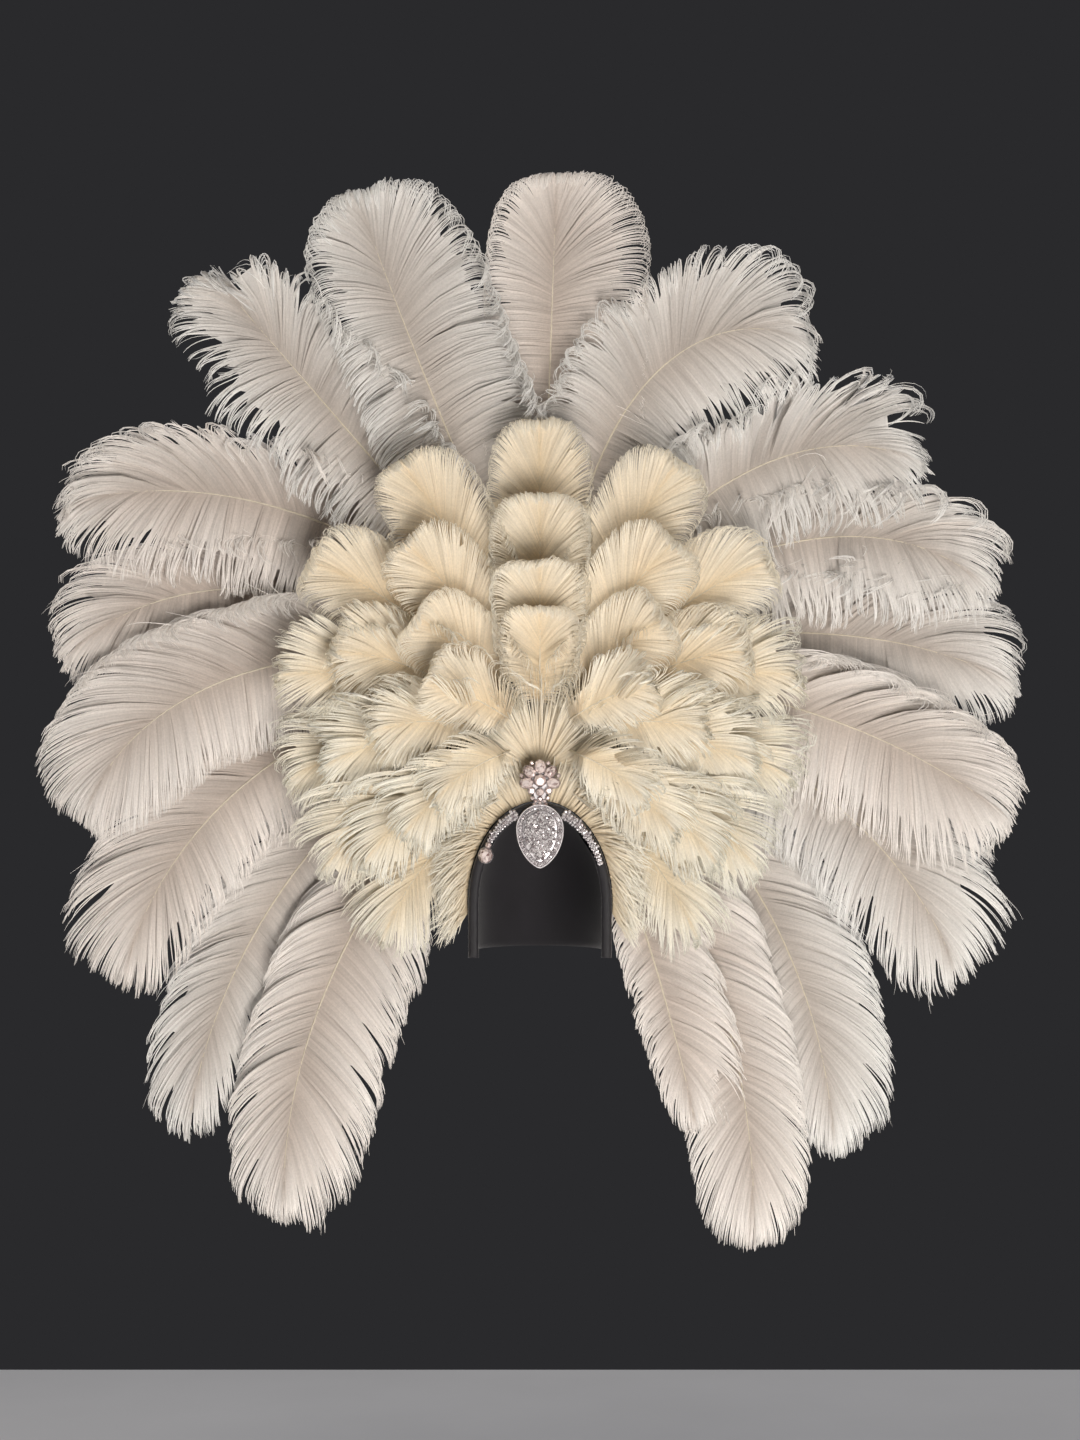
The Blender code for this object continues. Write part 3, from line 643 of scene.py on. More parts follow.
def barb_ribbons(path, front, lock, tuft, stray, place, width, spin, hue, rng):
    """Ribbons along barb paths: points, quads, and a tone for each point from barb, place and lock."""
    count, steps = path.shape[0], path.shape[1] - 1
    ahead = unit(np.gradient(path, axis=1))
    flat = unit(np.cross(ahead, front[:, None, :]) + 0.02 * front[:, None, :])
    for k in range(1, steps + 1):
        turned = dot(flat[:, k], flat[:, k - 1]) < 0.0
        flat[:, k] *= np.where(turned, -1.0, 1.0)[:, None]
    up = np.cross(flat, ahead)
    twist = rng.normal(0.0, 0.07, count)[:, None]
    twist = twist + rng.normal(0.0, spin, count)[:, None] * place ** 1.5
    edge = np.cos(twist)[:, :, None] * flat + np.sin(twist)[:, :, None] * up
    taper = 1.0 - 0.70 * smooth_step((place - 0.30) / 0.70)
    taper[:, -1] = 0.14
    half = 0.5 * width * taper * (1.0 + 0.20 * rng.normal(0.0, 1.0, count))[:, None]
    half = np.where(stray[:, None], 0.55 * half, half)
    points = np.stack((path - edge * half[:, :, None], path + edge * half[:, :, None]), axis=2)
    base = (np.arange(count) * (steps + 1) * 2)[:, None]
    row = (np.arange(steps) * 2)[None, :]
    quads = np.stack((base + row, base + row + 1, base + row + 3, base + row + 2), axis=-1)
    tone = np.ones((count, steps + 1, 2, 4))
    shade = 0.6 * rng.uniform(0.0, 1.0, count) + 0.4 * rng.uniform(0.0, 1.0, lock.max() + 1)[lock]
    tone[..., 0] = shade[:, None, None]
    # Green holds the place along the barb, from which the material paints shade near the quill and light
    # at the tips.
    tone[..., 1] = place[:, :, None]
    tone[..., 2] = (hue + 0.15 * rng.uniform(-1.0, 1.0, tuft.max() + 1)[tuft])[:, None, None]
    return points.reshape(-1, 3), quads.reshape(-1, 4), tone.reshape(-1, 4)


def clear_of_cap(path):
    """Which barbs stay outside the cap, so that none hangs into the head opening."""
    x, y, z = path[..., 0], path[..., 1], path[..., 2]
    level = np.maximum(z, 0.0) / (CAP_HEIGHT + CLEARANCE)
    inside = (x / (CAP_HALF_WIDTH + CLEARANCE)) ** 2 + level ** 2 < 1.0
    return ~(inside & (y > CAP_FRONT) & (z > CAP_HEM)).any(axis=1)


def lay_behind_tiers(path):
    """Plume barbs lie flat where the short feathers cover them, so that none pokes through."""
    x, z = path[..., 0], path[..., 2]
    top, side = TIERS[0][4:6]
    past = np.hypot(x, z - SHIELD_HUB_Z) - tier_tip(top, side, x, z)
    limit = BOARD_FRONT - 0.005 + fan_lean(x, z) - 0.06 * smooth_step((past + 0.03) / 0.06)
    path[..., 1] = np.maximum(path[..., 1], limit)


def vane_web(combed_path, front, every, hue, rng):
    """The closed inner part of a vane, where the down of the barbs meshes; its edge is uneven."""
    rows = np.arange(0, combed_path.shape[0], every)
    cells = 6
    lengths = np.linalg.norm(np.diff(combed_path, axis=1, prepend=combed_path[:, :1]), axis=2)
    arc = np.cumsum(lengths, axis=1)
    arc /= arc[:, -1:]
    points = np.zeros((len(rows), cells + 1, 3))
    for k, row in enumerate(rows):
        end = (0.57 + 0.08 * rng.uniform(-1.0, 1.0)) * min(0.15 + 0.14 * k, 1.0)
        wanted = np.linspace(0.0, end, cells + 1)
        for j in range(3):
            points[k, :, j] = np.interp(wanted, arc[row], combed_path[row, :, j])
        behind = np.minimum(np.linspace(0.0, 4.0, cells + 1), 1.0)
        points[k] -= 0.0012 * front[row] * behind[:, None]
    a = (np.arange(len(rows) - 1) * (cells + 1))[:, None] + np.arange(cells)[None, :]
    quads = np.stack((a, a + 1, a + cells + 2, a + cells + 1), axis=-1)
    tone = np.ones((len(rows), cells + 1, 4))
    tone[..., 0] = rng.uniform(0.2, 0.6, len(rows))[:, None]
    # The web's place along the barb gives it the painted shade of the root colour.
    tone[..., 1] = np.linspace(0.0, 0.60, cells + 1)[None, :]
    tone[..., 2] = hue
    return points.reshape(-1, 3), quads.reshape(-1, 4), tone.reshape(-1, 4)


def quill_tube(quill, last, thick, thin, sides=6):
    """A tapered round quill."""
    count = 40
    shares = np.linspace(0.0, last, count)
    points = quill.at(shares, "points")
    along = unit(quill.at(shares, "alongs"))
    across = unit(quill.at(shares, "sides"))
    front = np.cross(across, along)
    radius = thick + (thin - thick) * shares / last
    rings = []
    for j in range(sides):
        turned = 2.0 * math.pi * j / sides
        out = math.cos(turned) * across + math.sin(turned) * front
        rings.append(points + radius[:, None] * out)
    return np.stack(rings, axis=1).reshape(-1, 3), np.array(tube_faces(count, sides))


def add_feather(name, quill, widths, spacing, combed, hue, style, barb_width, materials):
    """One feather in place of its solid: two vanes of barbs over their webs, and a quill."""
    rng = np.random.default_rng(sum(ord(c) * (k + 1) for k, c in enumerate(name)))
    sweep = rng.normal(0.0, 0.45)
    style = dict(style, radius=style["radius"] * rng.uniform(0.8, 1.25))
    combed = min(max(combed + rng.normal(0.0, style["mixed"]), 0.05), 1.0)
    spin = 0.20 + 0.40 * (1.0 - combed)
    parts = []
    for side, full in zip((-1, 1), widths):
        grown = grow_barbs(quill, side, full, spacing, combed, sweep, style, rng)
        path, combed_path, front, lock, tuft, stray, place = grown
        path[..., 1] = np.maximum(path[..., 1], BARB_FRONT_LIMIT)
        if name.startswith("plume"):
            lay_behind_tiers(path)
        clear = clear_of_cap(path)
        kept = [values[clear] for values in (path, front, lock, tuft, stray, place)]
        parts.append(barb_ribbons(*kept, barb_width, spin, hue, rng))
        parts.append(vane_web(combed_path, front, style["web_every"], hue, rng))
    points, quads = quill_tube(quill, style["last"] + 0.01, *style["quill"])
    parts.append((points, quads, np.ones((len(points), 4))))
    points, faces = join(parts)
    item = mesh_piece(name + "_barbs", points, faces, materials[0], style["slot"])
    item.data.materials.append(materials[1])
    number = np.zeros(len(faces), dtype=np.int32)
    number[-len(quads):] = 1
    item.data.polygons.foreach_set("material_index", number)
    paint(item, "strand", "POINT", np.concatenate([part[2] for part in parts]))
    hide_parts(name)


def loose_down(name, node, root, out, reach, rise, over, sag, radius, materials, width, rng):
    """Loose down that starts at its own roots, goes outward and forward, bends over and sags."""
    count = len(root)
    front = np.tile(FRONT, (count, 1))
    rise = np.radians(rise)[:, None]
    heading = unit(np.cos(rise) * out + np.sin(rise) * front)
    knots = reach[:, None] * np.linspace(0.0, 1.0, 8)[None, :]
    path = run_barbs(knots, reach, heading, over, sag, 0.30 * reach, radius)
    path += root[:, None, :]
    lock = np.arange(count) // 5
    middle = np.minimum(5 * lock + 2, count - 1)
    place = knots / reach[:, None]
    path += (0.65 * smooth_step((place - 0.25) / 0.75))[:, :, None] * (path[middle] - path)
    wave = 0.0016 * np.sin(6.0 * place + 2.4 * lock[:, None]) * place
    path += wave[:, :, None] * np.cross(out, front)[:, None, :]
    stray = rng.uniform(0.0, 1.0, count) < 0.08
    clear = clear_of_cap(path)
    kept = [values[clear] for values in (path, front, lock, lock // 4, stray, place)]
    points, quads, tones = barb_ribbons(*kept, width, 0.45, 0.6, rng)
    item = mesh_piece(name, points, quads, materials[0], "ivory_feather")
    paint(item, "strand", "POINT", tones)
    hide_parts(node)


def root_down(materials, width):
    """Down behind the brooch, where the shortest quills meet."""
    rng = np.random.default_rng(41)
    count = 1900
    spread = 2.0 * (np.arange(count) + rng.uniform(0.0, 1.0, count)) / count - 1.0
    turned = np.radians(ROOT_DOWN_SPAN) * spread
    turned += np.radians(4.0) * np.sin(9.0 * turned)
    out = np.stack((np.sin(turned), np.zeros(count), np.cos(turned)), axis=1)
    root = out * (ROOT_DOWN_RING * rng.uniform(0.3, 1.0, count))[:, None]
    root += np.array((0.0, BOARD_FRONT - 0.0015, ROOT_DOWN_Z))
    upward = np.clip(np.cos(turned), 0.0, 1.0) ** 2
    reach = ROOT_DOWN_LENGTH * (rng.uniform(0.55, 1.0, count) + 0.45 * upward)
    over = np.tile(FRONT, (count, 1))
    rise = rng.uniform(3.0, 28.0, count)
    sag = rng.uniform(0.1, 0.8, count)
    radius = rng.uniform(0.05, 0.12, count)
    loose_down("feather_root_down", "feather_d_03", root, out, reach, rise, over, sag, radius,
               materials, width, rng)


def rim_down(materials, width):
    """Down that stands round the outside of the rim and hides the board's inner edge."""
    wide, tall = CAP_HALF_WIDTH + 0.002, CAP_HEIGHT + 0.002
    count = 1100
    for name, node, side, seed in (("feather_rim_down_left", "feather_d_01", -1.0, 43),
                                   ("feather_rim_down_right", "feather_d_05", 1.0, 47)):
        rng = np.random.default_rng(seed)
        turned = np.radians(6.0 + 90.0 * (np.arange(count) + rng.uniform(0.0, 1.0, count)) / count)
        root = np.stack((side * wide * np.sin(turned), BOARD_FRONT - rng.uniform(0.001, 0.024, count),
                         tall * np.cos(turned)), axis=1)
        out = np.stack((side * np.sin(turned) / wide, np.zeros(count), np.cos(turned) / tall), axis=1)
        fall = 0.2 + 1.2 * smooth_step((turned - 0.5) / 0.9)
        out = unit(unit(out) + (fall * rng.uniform(0.3, 1.3, count))[:, None] * DOWN)
        reach = RIM_DOWN_LENGTH * rng.uniform(0.45, 1.0, count)
        reach = reach * (1.0 - 0.25 * smooth_step(turned - 0.9))
        over = unit(-FRONT + 0.9 * smooth_step(turned - 0.3)[:, None] * DOWN)
        rise = rng.uniform(10.0, 45.0, count) * (0.15 + 0.85 * smooth_step((turned - 0.25) / 0.6))
        sag = rng.uniform(0.4, 1.4, count)
        radius = rng.uniform(0.04, 0.09, count)
        loose_down(name, node, root, out, reach, rise, over, sag, radius, materials, width, rng)


# How barbs grow. First the quill: its radii at root and tip, its bare share and where the last barb
# stands. Then angle from the quill and out of the fan's plane in degrees, share of the quill from which
# they close up towards the tip, how far ends bend down and loose curls hook sideways, sag, size of locks
# and tufts in metres, how firmly locks cling, radius and turn of the rolled ends where they point up and
# down, share of stray barbs, how much feathers differ in tidiness, steps along a barb and those of them
# before its bend, and barbs to each row of the web
PLUME_STYLE = {
    "slot": "white_feather", "quill": (0.0020, 0.0005), "bare": PLUME_BARE, "last": 0.93,
    "leave": 80.0, "lift": 3.0, "close": 0.58, "drape": 1.0, "hook": 0.8, "weight": 1.0,
    "lock": 0.0042, "tuft": 0.026, "cling": 0.80, "radius": 0.021, "turn_up": 2.6, "turn_down": 0.7,
    "stray": 0.03, "mixed": 0.04, "steps": 10, "early": 3, "web_every": 4}
FEATHER_STYLE = {
    "slot": "ivory_feather", "quill": (0.0012, 0.0004), "bare": FEATHER_BARE, "last": 0.92,
    "leave": 70.0, "lift": 3.0, "close": 0.25, "drape": 0.5, "hook": 0.9, "weight": 0.50,
    "lock": 0.0034, "tuft": 0.016, "cling": 0.72, "radius": 0.013, "turn_up": 2.7, "turn_down": 1.1,
    "stray": 0.035, "mixed": 0.05, "steps": 8, "early": 3, "web_every": 4}


class HEADDRESS_OT_plumes(bpy.types.Operator):
    """Grow the eighteen large plumes of the fan"""
    bl_idname = "headdress.plumes"
    bl_label = "Plumes"

    def execute(self, context):
        sizes = context.scene.headdress_feathers
        barb = ostrich_barb("bleached_ostrich_barb", sizes.white_root_tone_and_shade, sizes.white_tip, *WHITE_TINTS)
        materials = (barb, quill_horn("scraped_white_quill", sizes.quill))
        for name, angle, turn, late, root, tip, anti, clock, layer, combed in PLUMES:
            turned = math.radians(angle)
            begin = FAN_REACH * root
            start = (begin * math.sin(turned), FAN_HUB_Z + begin * math.cos(turned))
            quill = Quill(start, angle, turn, late, FAN_REACH * (tip - root), plume_depth(layer))
            widths = (FAN_WIDTH * anti, FAN_WIDTH * clock)
            hue = 0.5 + 0.5 * math.sin(2.4 * angle)
            add_feather(name, quill, widths, sizes.plume_spacing, combed, hue, PLUME_STYLE,
                        sizes.barb_width, materials)
        return {"FINISHED"}


class HEADDRESS_OT_short_feathers(bpy.types.Operator):
    """Grow the four tiers of short ivory feathers"""
    bl_idname = "headdress.short_feathers"
    bl_label = "Short feathers"

    def execute(self, context):
        sizes = context.scene.headdress_feathers
        barb = ostrich_barb("ivory_ostrich_barb", sizes.ivory_root_tone_and_shade, sizes.ivory_tip, *IVORY_TINTS)
        materials = (barb, quill_horn("scraped_ivory_quill", sizes.quill))
        for tier, (name, count, span, root, top, side, width, curl) in enumerate(TIERS):
            for number in range(count):
                angle = -span + 2.0 * span * number / (count - 1)
                turned = math.radians(angle)
                begin = SHIELD_REACH * root
                start = (begin * math.sin(turned), SHIELD_HUB_Z + begin * math.cos(turned))
                reach = float(tier_tip(top, side, math.sin(turned), SHIELD_HUB_Z + math.cos(turned)))
                depth = feather_depth(tier, number % 2, top, side, curl)
                droop = SHIELD_DROOP * math.sin(turned)
                quill = Quill(start, angle, droop, DROOP_LATE, reach - begin, depth)
                widths = (FEATHER_WIDTH * width,) * 2
                loosened = float(smooth_step((abs(angle) - 35.0) / 55.0))
                combed = 0.94 - (0.80 if angle > 0.0 else 0.66) * loosened
                # Side feathers get a paler, cooler tint and centre ones a warmer, deeper tint: partly
                # the feathers' own variation, partly painted shade where less light falls on the centre.
                pale = 0.15 + 0.70 * loosened + 0.15 * math.sin(5.0 * angle + tier)
                add_feather(f"{name}_{number + 1:02d}", quill, widths, sizes.feather_spacing, combed,
                            pale, FEATHER_STYLE, 0.85 * sizes.barb_width, materials)
        root_down(materials, 0.7 * sizes.barb_width)
        rim_down(materials, 0.7 * sizes.barb_width)
        return {"FINISHED"}


# Cap, rim and board

def hood_point(turned, y, inset):
    """A point on the cap's arch at a depth, drawn in by an inset."""
    back = max(y - CAP_MIDDLE, 0.0) / (CAP_BACK - inset - CAP_MIDDLE)
    scale = math.sqrt(max(1.0 - back * back, 0.0))
    return ((CAP_HALF_WIDTH - inset) * scale * math.cos(turned), y,
            (CAP_HEIGHT - inset) * scale * math.sin(turned))


def hood_sheet(inset, rows, arch):
    """Rows of points of the cap's outside, or of its inside where inset is the wall."""
    sheet = []
    depths = [CAP_FRONT + (CAP_MIDDLE - CAP_FRONT) * k / 12 for k in range(13)]
    depths += [CAP_MIDDLE + (CAP_BACK - inset - CAP_MIDDLE) * math.sin(0.5 * math.pi * k / rows)
               for k in range(1, rows + 1)]
    for y in depths:
        ear = hood_point(0.0, y, inset)[0]
        row = [(ear, y, CAP_HEM - CAP_HEM * k / 8) for k in range(8)]
        row += [hood_point(math.pi * k / arch, y, inset) for k in range(arch + 1)]
        row += [(-ear, y, CAP_HEM * (k + 1) / 8) for k in range(8)]
        sheet.append(row)
    return sheet


class HEADDRESS_OT_cap(bpy.types.Operator):
    """Make the cloth cap with its crown seam, stretch wrinkles and hem"""
    bl_idname = "headdress.cap"
    bl_label = "Cap"

    def execute(self, context):
        colours = context.scene.headdress_cloth
        cloth = black_knit("black_stretch_velour", colours.cloth, 0.9, 0.82, 0.5)
        points, faces = [], []
        for inset in (0.0, CAP_WALL):
            sheet = hood_sheet(inset, 22, 48)
            width = len(sheet[0])
            base = len(points)
            for row in sheet:
                for x, y, z in row:
                    seam = math.exp(-(x / SEAM_HALF_WIDTH) ** 2) if z > 0.0 else 0.0
                    pull = math.sin(21.0 * y / CAP_BACK + 34.0 * z) * math.sin(55.0 * z + 9.0 * x)
                    swell = 0.0 if inset else 0.0009 * seam + 0.0006 * pull - 0.0004
                    scale = 1.0 + swell / CAP_HALF_WIDTH
                    points.append((x * scale, y, z * scale if z > 0.0 else z))
            for number in range(len(sheet) - 1):
                for k in range(width - 1):
                    a = base + number * width + k
                    quad = (a, a + 1, a + width + 1, a + width)
                    faces.append(quad[::-1] if inset else quad)
        half = len(points) // 2
        rows = half // width
        rim = list(range(width)) + [n * width + width - 1 for n in range(1, rows)]
        rim += [n * width for n in range(rows - 1, 0, -1)]
        for a, b in zip(rim, rim[1:] + rim[:1]):
            faces.append((a, a + half, b + half, b))
        item = mesh_piece("cap_cloth", points, faces, cloth, "cap_cloth")
        maker = bmesh.new()
        maker.from_mesh(item.data)
        bmesh.ops.remove_doubles(maker, verts=maker.verts, dist=0.00002)
        bmesh.ops.dissolve_degenerate(maker, edges=maker.edges, dist=0.00001)
        bmesh.ops.recalc_face_normals(maker, faces=maker.faces)
        maker.to_mesh(item.data)
        maker.free()
        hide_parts("cap")
        return {"FINISHED"}


def rim_point(turned):
    """A point on the middle line of the rim's arch."""
    half_width = CAP_HALF_WIDTH - RIM_HALF_WIDTH
    height = CAP_HEIGHT - RIM_HALF_WIDTH
    return (half_width * math.cos(turned), height * math.sin(turned))


class HEADDRESS_OT_rim(bpy.types.Operator):
    """Wind black satin round the padded wire of the face opening"""
    bl_idname = "headdress.rim"
    bl_label = "Rim"

    def execute(self, context):
        colours = context.scene.headdress_cloth
        satin = black_knit("black_satin_ribbon", colours.cloth, 0.7, 0.42, 0.3)
        line = [(rim_point(0.0)[0], CAP_HEM * (1.0 - k / 24)) for k in range(24)]
        line += [rim_point(math.pi * k / 120) for k in range(121)]
        line += [(rim_point(math.pi)[0], CAP_HEM * (k + 1) / 24) for k in range(24)]
        line = np.array(line)
        ahead = unit(np.gradient(line, axis=0))
        arcs = np.concatenate(([0.0], np.cumsum(np.linalg.norm(np.diff(line, axis=0), axis=1))))
        centre = CAP_FRONT - GAP - RIM_HALF_DEPTH
        sides = 20
        points = []
        for (x, z), (ax, az), arc in zip(line, ahead, arcs):
            for j in range(sides):
                turned = 2.0 * math.pi * j / sides
                wound = (arc / WIND_PITCH + j / sides) % 1.0
                fold = colours.fold_height * (wound ** 3 - 0.6)
                radial = (RIM_HALF_WIDTH + fold) * math.cos(turned)
                deep = (RIM_HALF_DEPTH + fold) * math.sin(turned)
                points.append((x + az * radial, centre + deep, z - ax * radial))
        item = mesh_piece("rim_satin", points, tube_faces(len(line), sides), satin, "rim_cloth")
        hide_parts("front_rim")
        return {"FINISHED"}


def board_outline(steps):
    """Points round the board: over its oval from foot to foot, and back round the cap."""
    foot = math.acos((BOARD_FOOT_Z - BOARD_CENTRE_Z) / BOARD_HALF_HEIGHT)
    width = CAP_HALF_WIDTH * BOARD_EASE
    height = CAP_HEIGHT * BOARD_EASE + GAP
    spring = math.asin(BOARD_FOOT_Z / height)
    outer, inner = [], []
    for k in range(steps + 1):
        share = k / steps
        turned = -foot + 2.0 * foot * share
        outer.append((BOARD_HALF_WIDTH * math.sin(turned),
                      BOARD_CENTRE_Z + BOARD_HALF_HEIGHT * math.cos(turned)))
        turned = math.pi - spring - (math.pi - 2.0 * spring) * share
        inner.append((width * math.cos(turned), height * math.sin(turned)))
    return np.array(outer), np.array(inner)


class HEADDRESS_OT_board(bpy.types.Operator):
    """Make the felt board with its bound edge and the thread that holds the quills"""
    bl_idname = "headdress.board"
    bl_label = "Board"

    def execute(self, context):
        colours = context.scene.headdress_cloth
        felt = black_knit("black_wool_felt", colours.cloth, 1.4, 0.95, 0.35)
        steps, rows = 96, 14
        outer, inner = board_outline(steps)
        back = BOARD_FRONT + BOARD_THICKNESS
        points = []
        shares = [j / rows for j in range(rows + 1)]
        for near, far in zip(inner, outer):
            for y, side, order in ((BOARD_FRONT, -1.0, shares), (back, 1.0, shares[::-1])):
                for share in order:
                    x, z = near + (far - near) * share
                    bound = 0.0005 if min(share, 1.0 - share) < 0.08 else 0.0
                    points.append((x, y + side * bound, z))
        faces = tube_faces(steps + 1, 2 * (rows + 1))
        item = mesh_piece("board_felt", points, faces, felt, "board_cloth")
        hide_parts("plume_board")
        thread = black_knit("waxed_black_thread", colours.cloth, 0.5, 0.5, 0.1)
        points, faces = [], []
        for _, angle, _, _, root, *_ in PLUMES:
            turned = math.radians(angle)
            across = np.array((math.cos(turned), 0.0, -math.sin(turned)))
            along = np.array((math.sin(turned), 0.0, math.cos(turned)))
            for bind in range(3):
                reach = FAN_REACH * root + 0.006 + BIND_PITCH * bind
                x = reach * math.sin(turned)
                z = FAN_HUB_Z + reach * math.cos(turned)
                base = len(points)
                for k in range(9):
                    swing = math.pi * k / 8
                    raised = np.array((0.0, math.sin(swing), 0.0))
                    centre = np.array((x, back, z)) - across * BIND_HALF_WIDTH * math.cos(swing)
                    centre = centre + BIND_HEIGHT * raised
                    out = across * -math.cos(swing) + raised
                    for spin in (0.0, 0.5 * math.pi, math.pi, 1.5 * math.pi):
                        round_off = math.cos(spin) * out + math.sin(spin) * along
                        points.append(centre + THREAD_RADIUS * round_off)
                faces += [tuple(base + n for n in face) for face in tube_faces(9, 4)]
        mesh_piece("quill_bindings", points, faces, thread, "board_cloth")
        return {"FINISHED"}


# Stones

def oval(half_x, half_z, sides, shift=0.0):
    """Points round an oval, from shift steps on."""
    turns = [2.0 * math.pi * (k + shift) / sides for k in range(sides)]
    return [(half_x * math.cos(t), half_z * math.sin(t)) for t in turns]


def turning(axis, angle):
    """The matrix that turns points about one axis."""
    matrix = np.eye(3)
    a, b = (axis + 1) % 3, (axis + 2) % 3
    matrix[a, a] = matrix[b, b] = math.cos(angle)
    matrix[a, b] = -math.sin(angle)
    matrix[b, a] = math.sin(angle)
    return matrix


# A stone's rings from under the girdle to the table: shares of its radius and height, turn in steps
CUT = ((1.0, 0.15, 0.0), (1.0, -0.20, 0.0), (0.80, -0.66, 0.5), (0.54, -1.0, 0.0))


def cut_stone(radius_x, radius_z, height, sides=8):
    """A brilliant seen from its table: girdle, kite facets and star facets, facing -Y."""
    points = []
    for scale, level, shift in CUT:
        ring = oval(radius_x * scale, radius_z * scale, sides, shift)
        points += [(x, height * level, z) for x, z in ring]
    points.append((0.0, -height, 0.0))
    low, mid, high, table = sides, 2 * sides, 3 * sides, 4 * sides
    faces = []
    for k in range(sides):
        n = (k + 1) % sides
        faces += [(k, n, low + n), (k, low + n, low + k)]
        faces += [(low + k, low + n, mid + k), (mid + k, low + n, mid + n)]
        faces += [(high + k, mid + k, high + n), (high + n, mid + k, mid + n)]
        faces.append((high + k, high + n, table))
    return np.array(points), np.array(faces)


def collar(radius_x, radius_z, height, sides=10):
    """A low metal collar round a stone, turned in over its girdle."""
    points = []
    for share, level in ((1.0, 0.35), (1.0, -0.25), (0.3, -0.42), (-0.2, -0.28)):
        wall = share * COLLAR_WALL
        points += [(x, height * level, z) for x, z in oval(radius_x + wall, radius_z + wall, sides)]
    return np.array(points), np.array(tube_faces(4, sides, False))


def set_stones(name, node, stones, front, plate, context, lean, bright, rose=False):
    """A piece's stones as one mesh and their settings as another.

    A stone is x, z, half width, half length, height, turn and lift. The stones lean by a few degrees,
    and bright holds the two numbers that shape the spread of their brightness, which is painted
    reflection."""
    colours = context.scene.headdress_stones
    if rose:
        crystal = foiled_crystal("pale_rose_crystal", colours.rose_painted_glint, colours.rose_painted_dark_reflection)
    else:
        crystal = foiled_crystal("foil_backed_crystal", colours.stone_painted_glint, colours.stone_painted_dark_reflection)
    silver = plated_silver("bright_plated_silver", colours.silver)
    rng = np.random.default_rng(len(stones) * 7 + len(name))
    gems, settings, tones = [], [plate], []
    for x, z, radius_x, radius_z, height, turn, lift in stones:
        place = np.array((x, front - lift, z))
        spin = turning(1, turn)
        nod, roll = np.radians(rng.normal(0.0, lean, 2))
        points, faces = cut_stone(radius_x, radius_z, height)
        gems.append((points @ (turning(2, roll) @ turning(0, nod) @ spin).T + place, faces))
        # Painted reflections: a random brightness for each stone and each facet stands in for the light
        # that the facets send back.
        tones.append(np.clip(rng.beta(*bright) + rng.uniform(-0.7, 0.7, len(faces)), 0.0, 1.0))
        points, faces = collar(radius_x, radius_z, height)
        settings.append((points @ spin.T + place, faces))
    gem = mesh_piece(name + "_stones", *join(gems), crystal, "crystal_in_silver", smooth=False)
    # The painted facet brightness goes to every corner of its triangle.
    light = np.repeat(np.concatenate(tones), 3)
    paint(gem, "facet", "CORNER", np.stack((light, light, light, np.ones_like(light)), axis=1))
    metal = mesh_piece(name + "_setting", *join(settings), silver, "crystal_in_silver")
    metal.data.set_sharp_from_angle(angle=math.radians(40.0))
    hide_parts(node)
    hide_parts(node)


def pear_outline(turned, grow=0.0):
    """A point on the pear's outline, grown or drawn in."""
    width = math.sin(turned)
    if math.cos(turned) < 0.0:
        width = math.copysign(abs(width) ** 1.35, width)
    height = PEAR_TOP if math.cos(turned) >= 0.0 else PEAR_POINT
    return ((PEAR_HALF_WIDTH + grow) * width, PEAR_LEVEL_Z + (height + grow) * math.cos(turned))


def row_of_stones(inset, size, height, lift):
    """Stones touching along the pear's outline drawn in by an inset."""
    fine = np.array([pear_outline(2.0 * math.pi * k / 720, -inset) for k in range(721)])
    arcs = np.concatenate(([0.0], np.cumsum(np.linalg.norm(np.diff(fine, axis=0), axis=1))))
    count = int(arcs[-1] / (2.0 * size + 0.0004))
    wanted = (np.arange(count) + 0.5) / count * arcs[-1]
    spots = zip(np.interp(wanted, arcs, fine[:, 0]), np.interp(wanted, arcs, fine[:, 1]))
    return [(x, z, size, size, height, 0.7 * k, lift) for k, (x, z) in enumerate(spots)]


def field_of_stones(inset, size, lift):
    """Stones of uneven size packed close over the raised field of the pear."""
    rng = np.random.default_rng(5)
    stones = []
    for row in range(-30, 30):
        level = 1.62 * size * row
        share = level / ((PEAR_TOP if level >= 0.0 else PEAR_POINT) - inset)
        if abs(share) >= 1.0:
            continue
        width = math.sqrt(1.0 - share * share)
        half = (PEAR_HALF_WIDTH - inset) * (width if level >= 0.0 else width ** 1.35)
        for column in range(-20, 21):
            x = 1.9 * size * (column + 0.5 * (row % 2))
            if abs(x) > half:
                continue
            big = size * rng.uniform(0.75, 1.20)
            raised = lift + 0.0013 * (1.0 - min(1.0, math.hypot(x, level) / 0.025))
            x += 0.3 * size * rng.uniform(-1.0, 1.0)
            z = PEAR_LEVEL_Z + level + 0.3 * size * rng.uniform(-1.0, 1.0)
            long = big * rng.uniform(0.8, 1.1)
            stones.append((x, z, big, long, 0.0032, rng.uniform(0.0, 3.0), raised))
    return stones


def lofted_plate(outlines):
    """A plate through outlines of (x, z) points at given depths."""
    points = [(x, y, z) for y, outline in outlines for x, z in outline]
    return np.array(points), np.array(tube_faces(len(outlines), len(outlines[0][1])))


# The pear's plate: how far each outline lies in front of its back, and how far it is grown
PEAR_STEPS = (
    (0.0, 0.0), (0.0044, 0.0004), (0.0052, -0.0003), (0.0052, -0.0010), (0.0040, -0.0020),
    (0.0030, -0.0022), (0.0030, -0.0062), (0.0056, -0.0066), (0.0062, -0.0072), (0.0052, -0.0080),
    (0.0064, -0.0210))

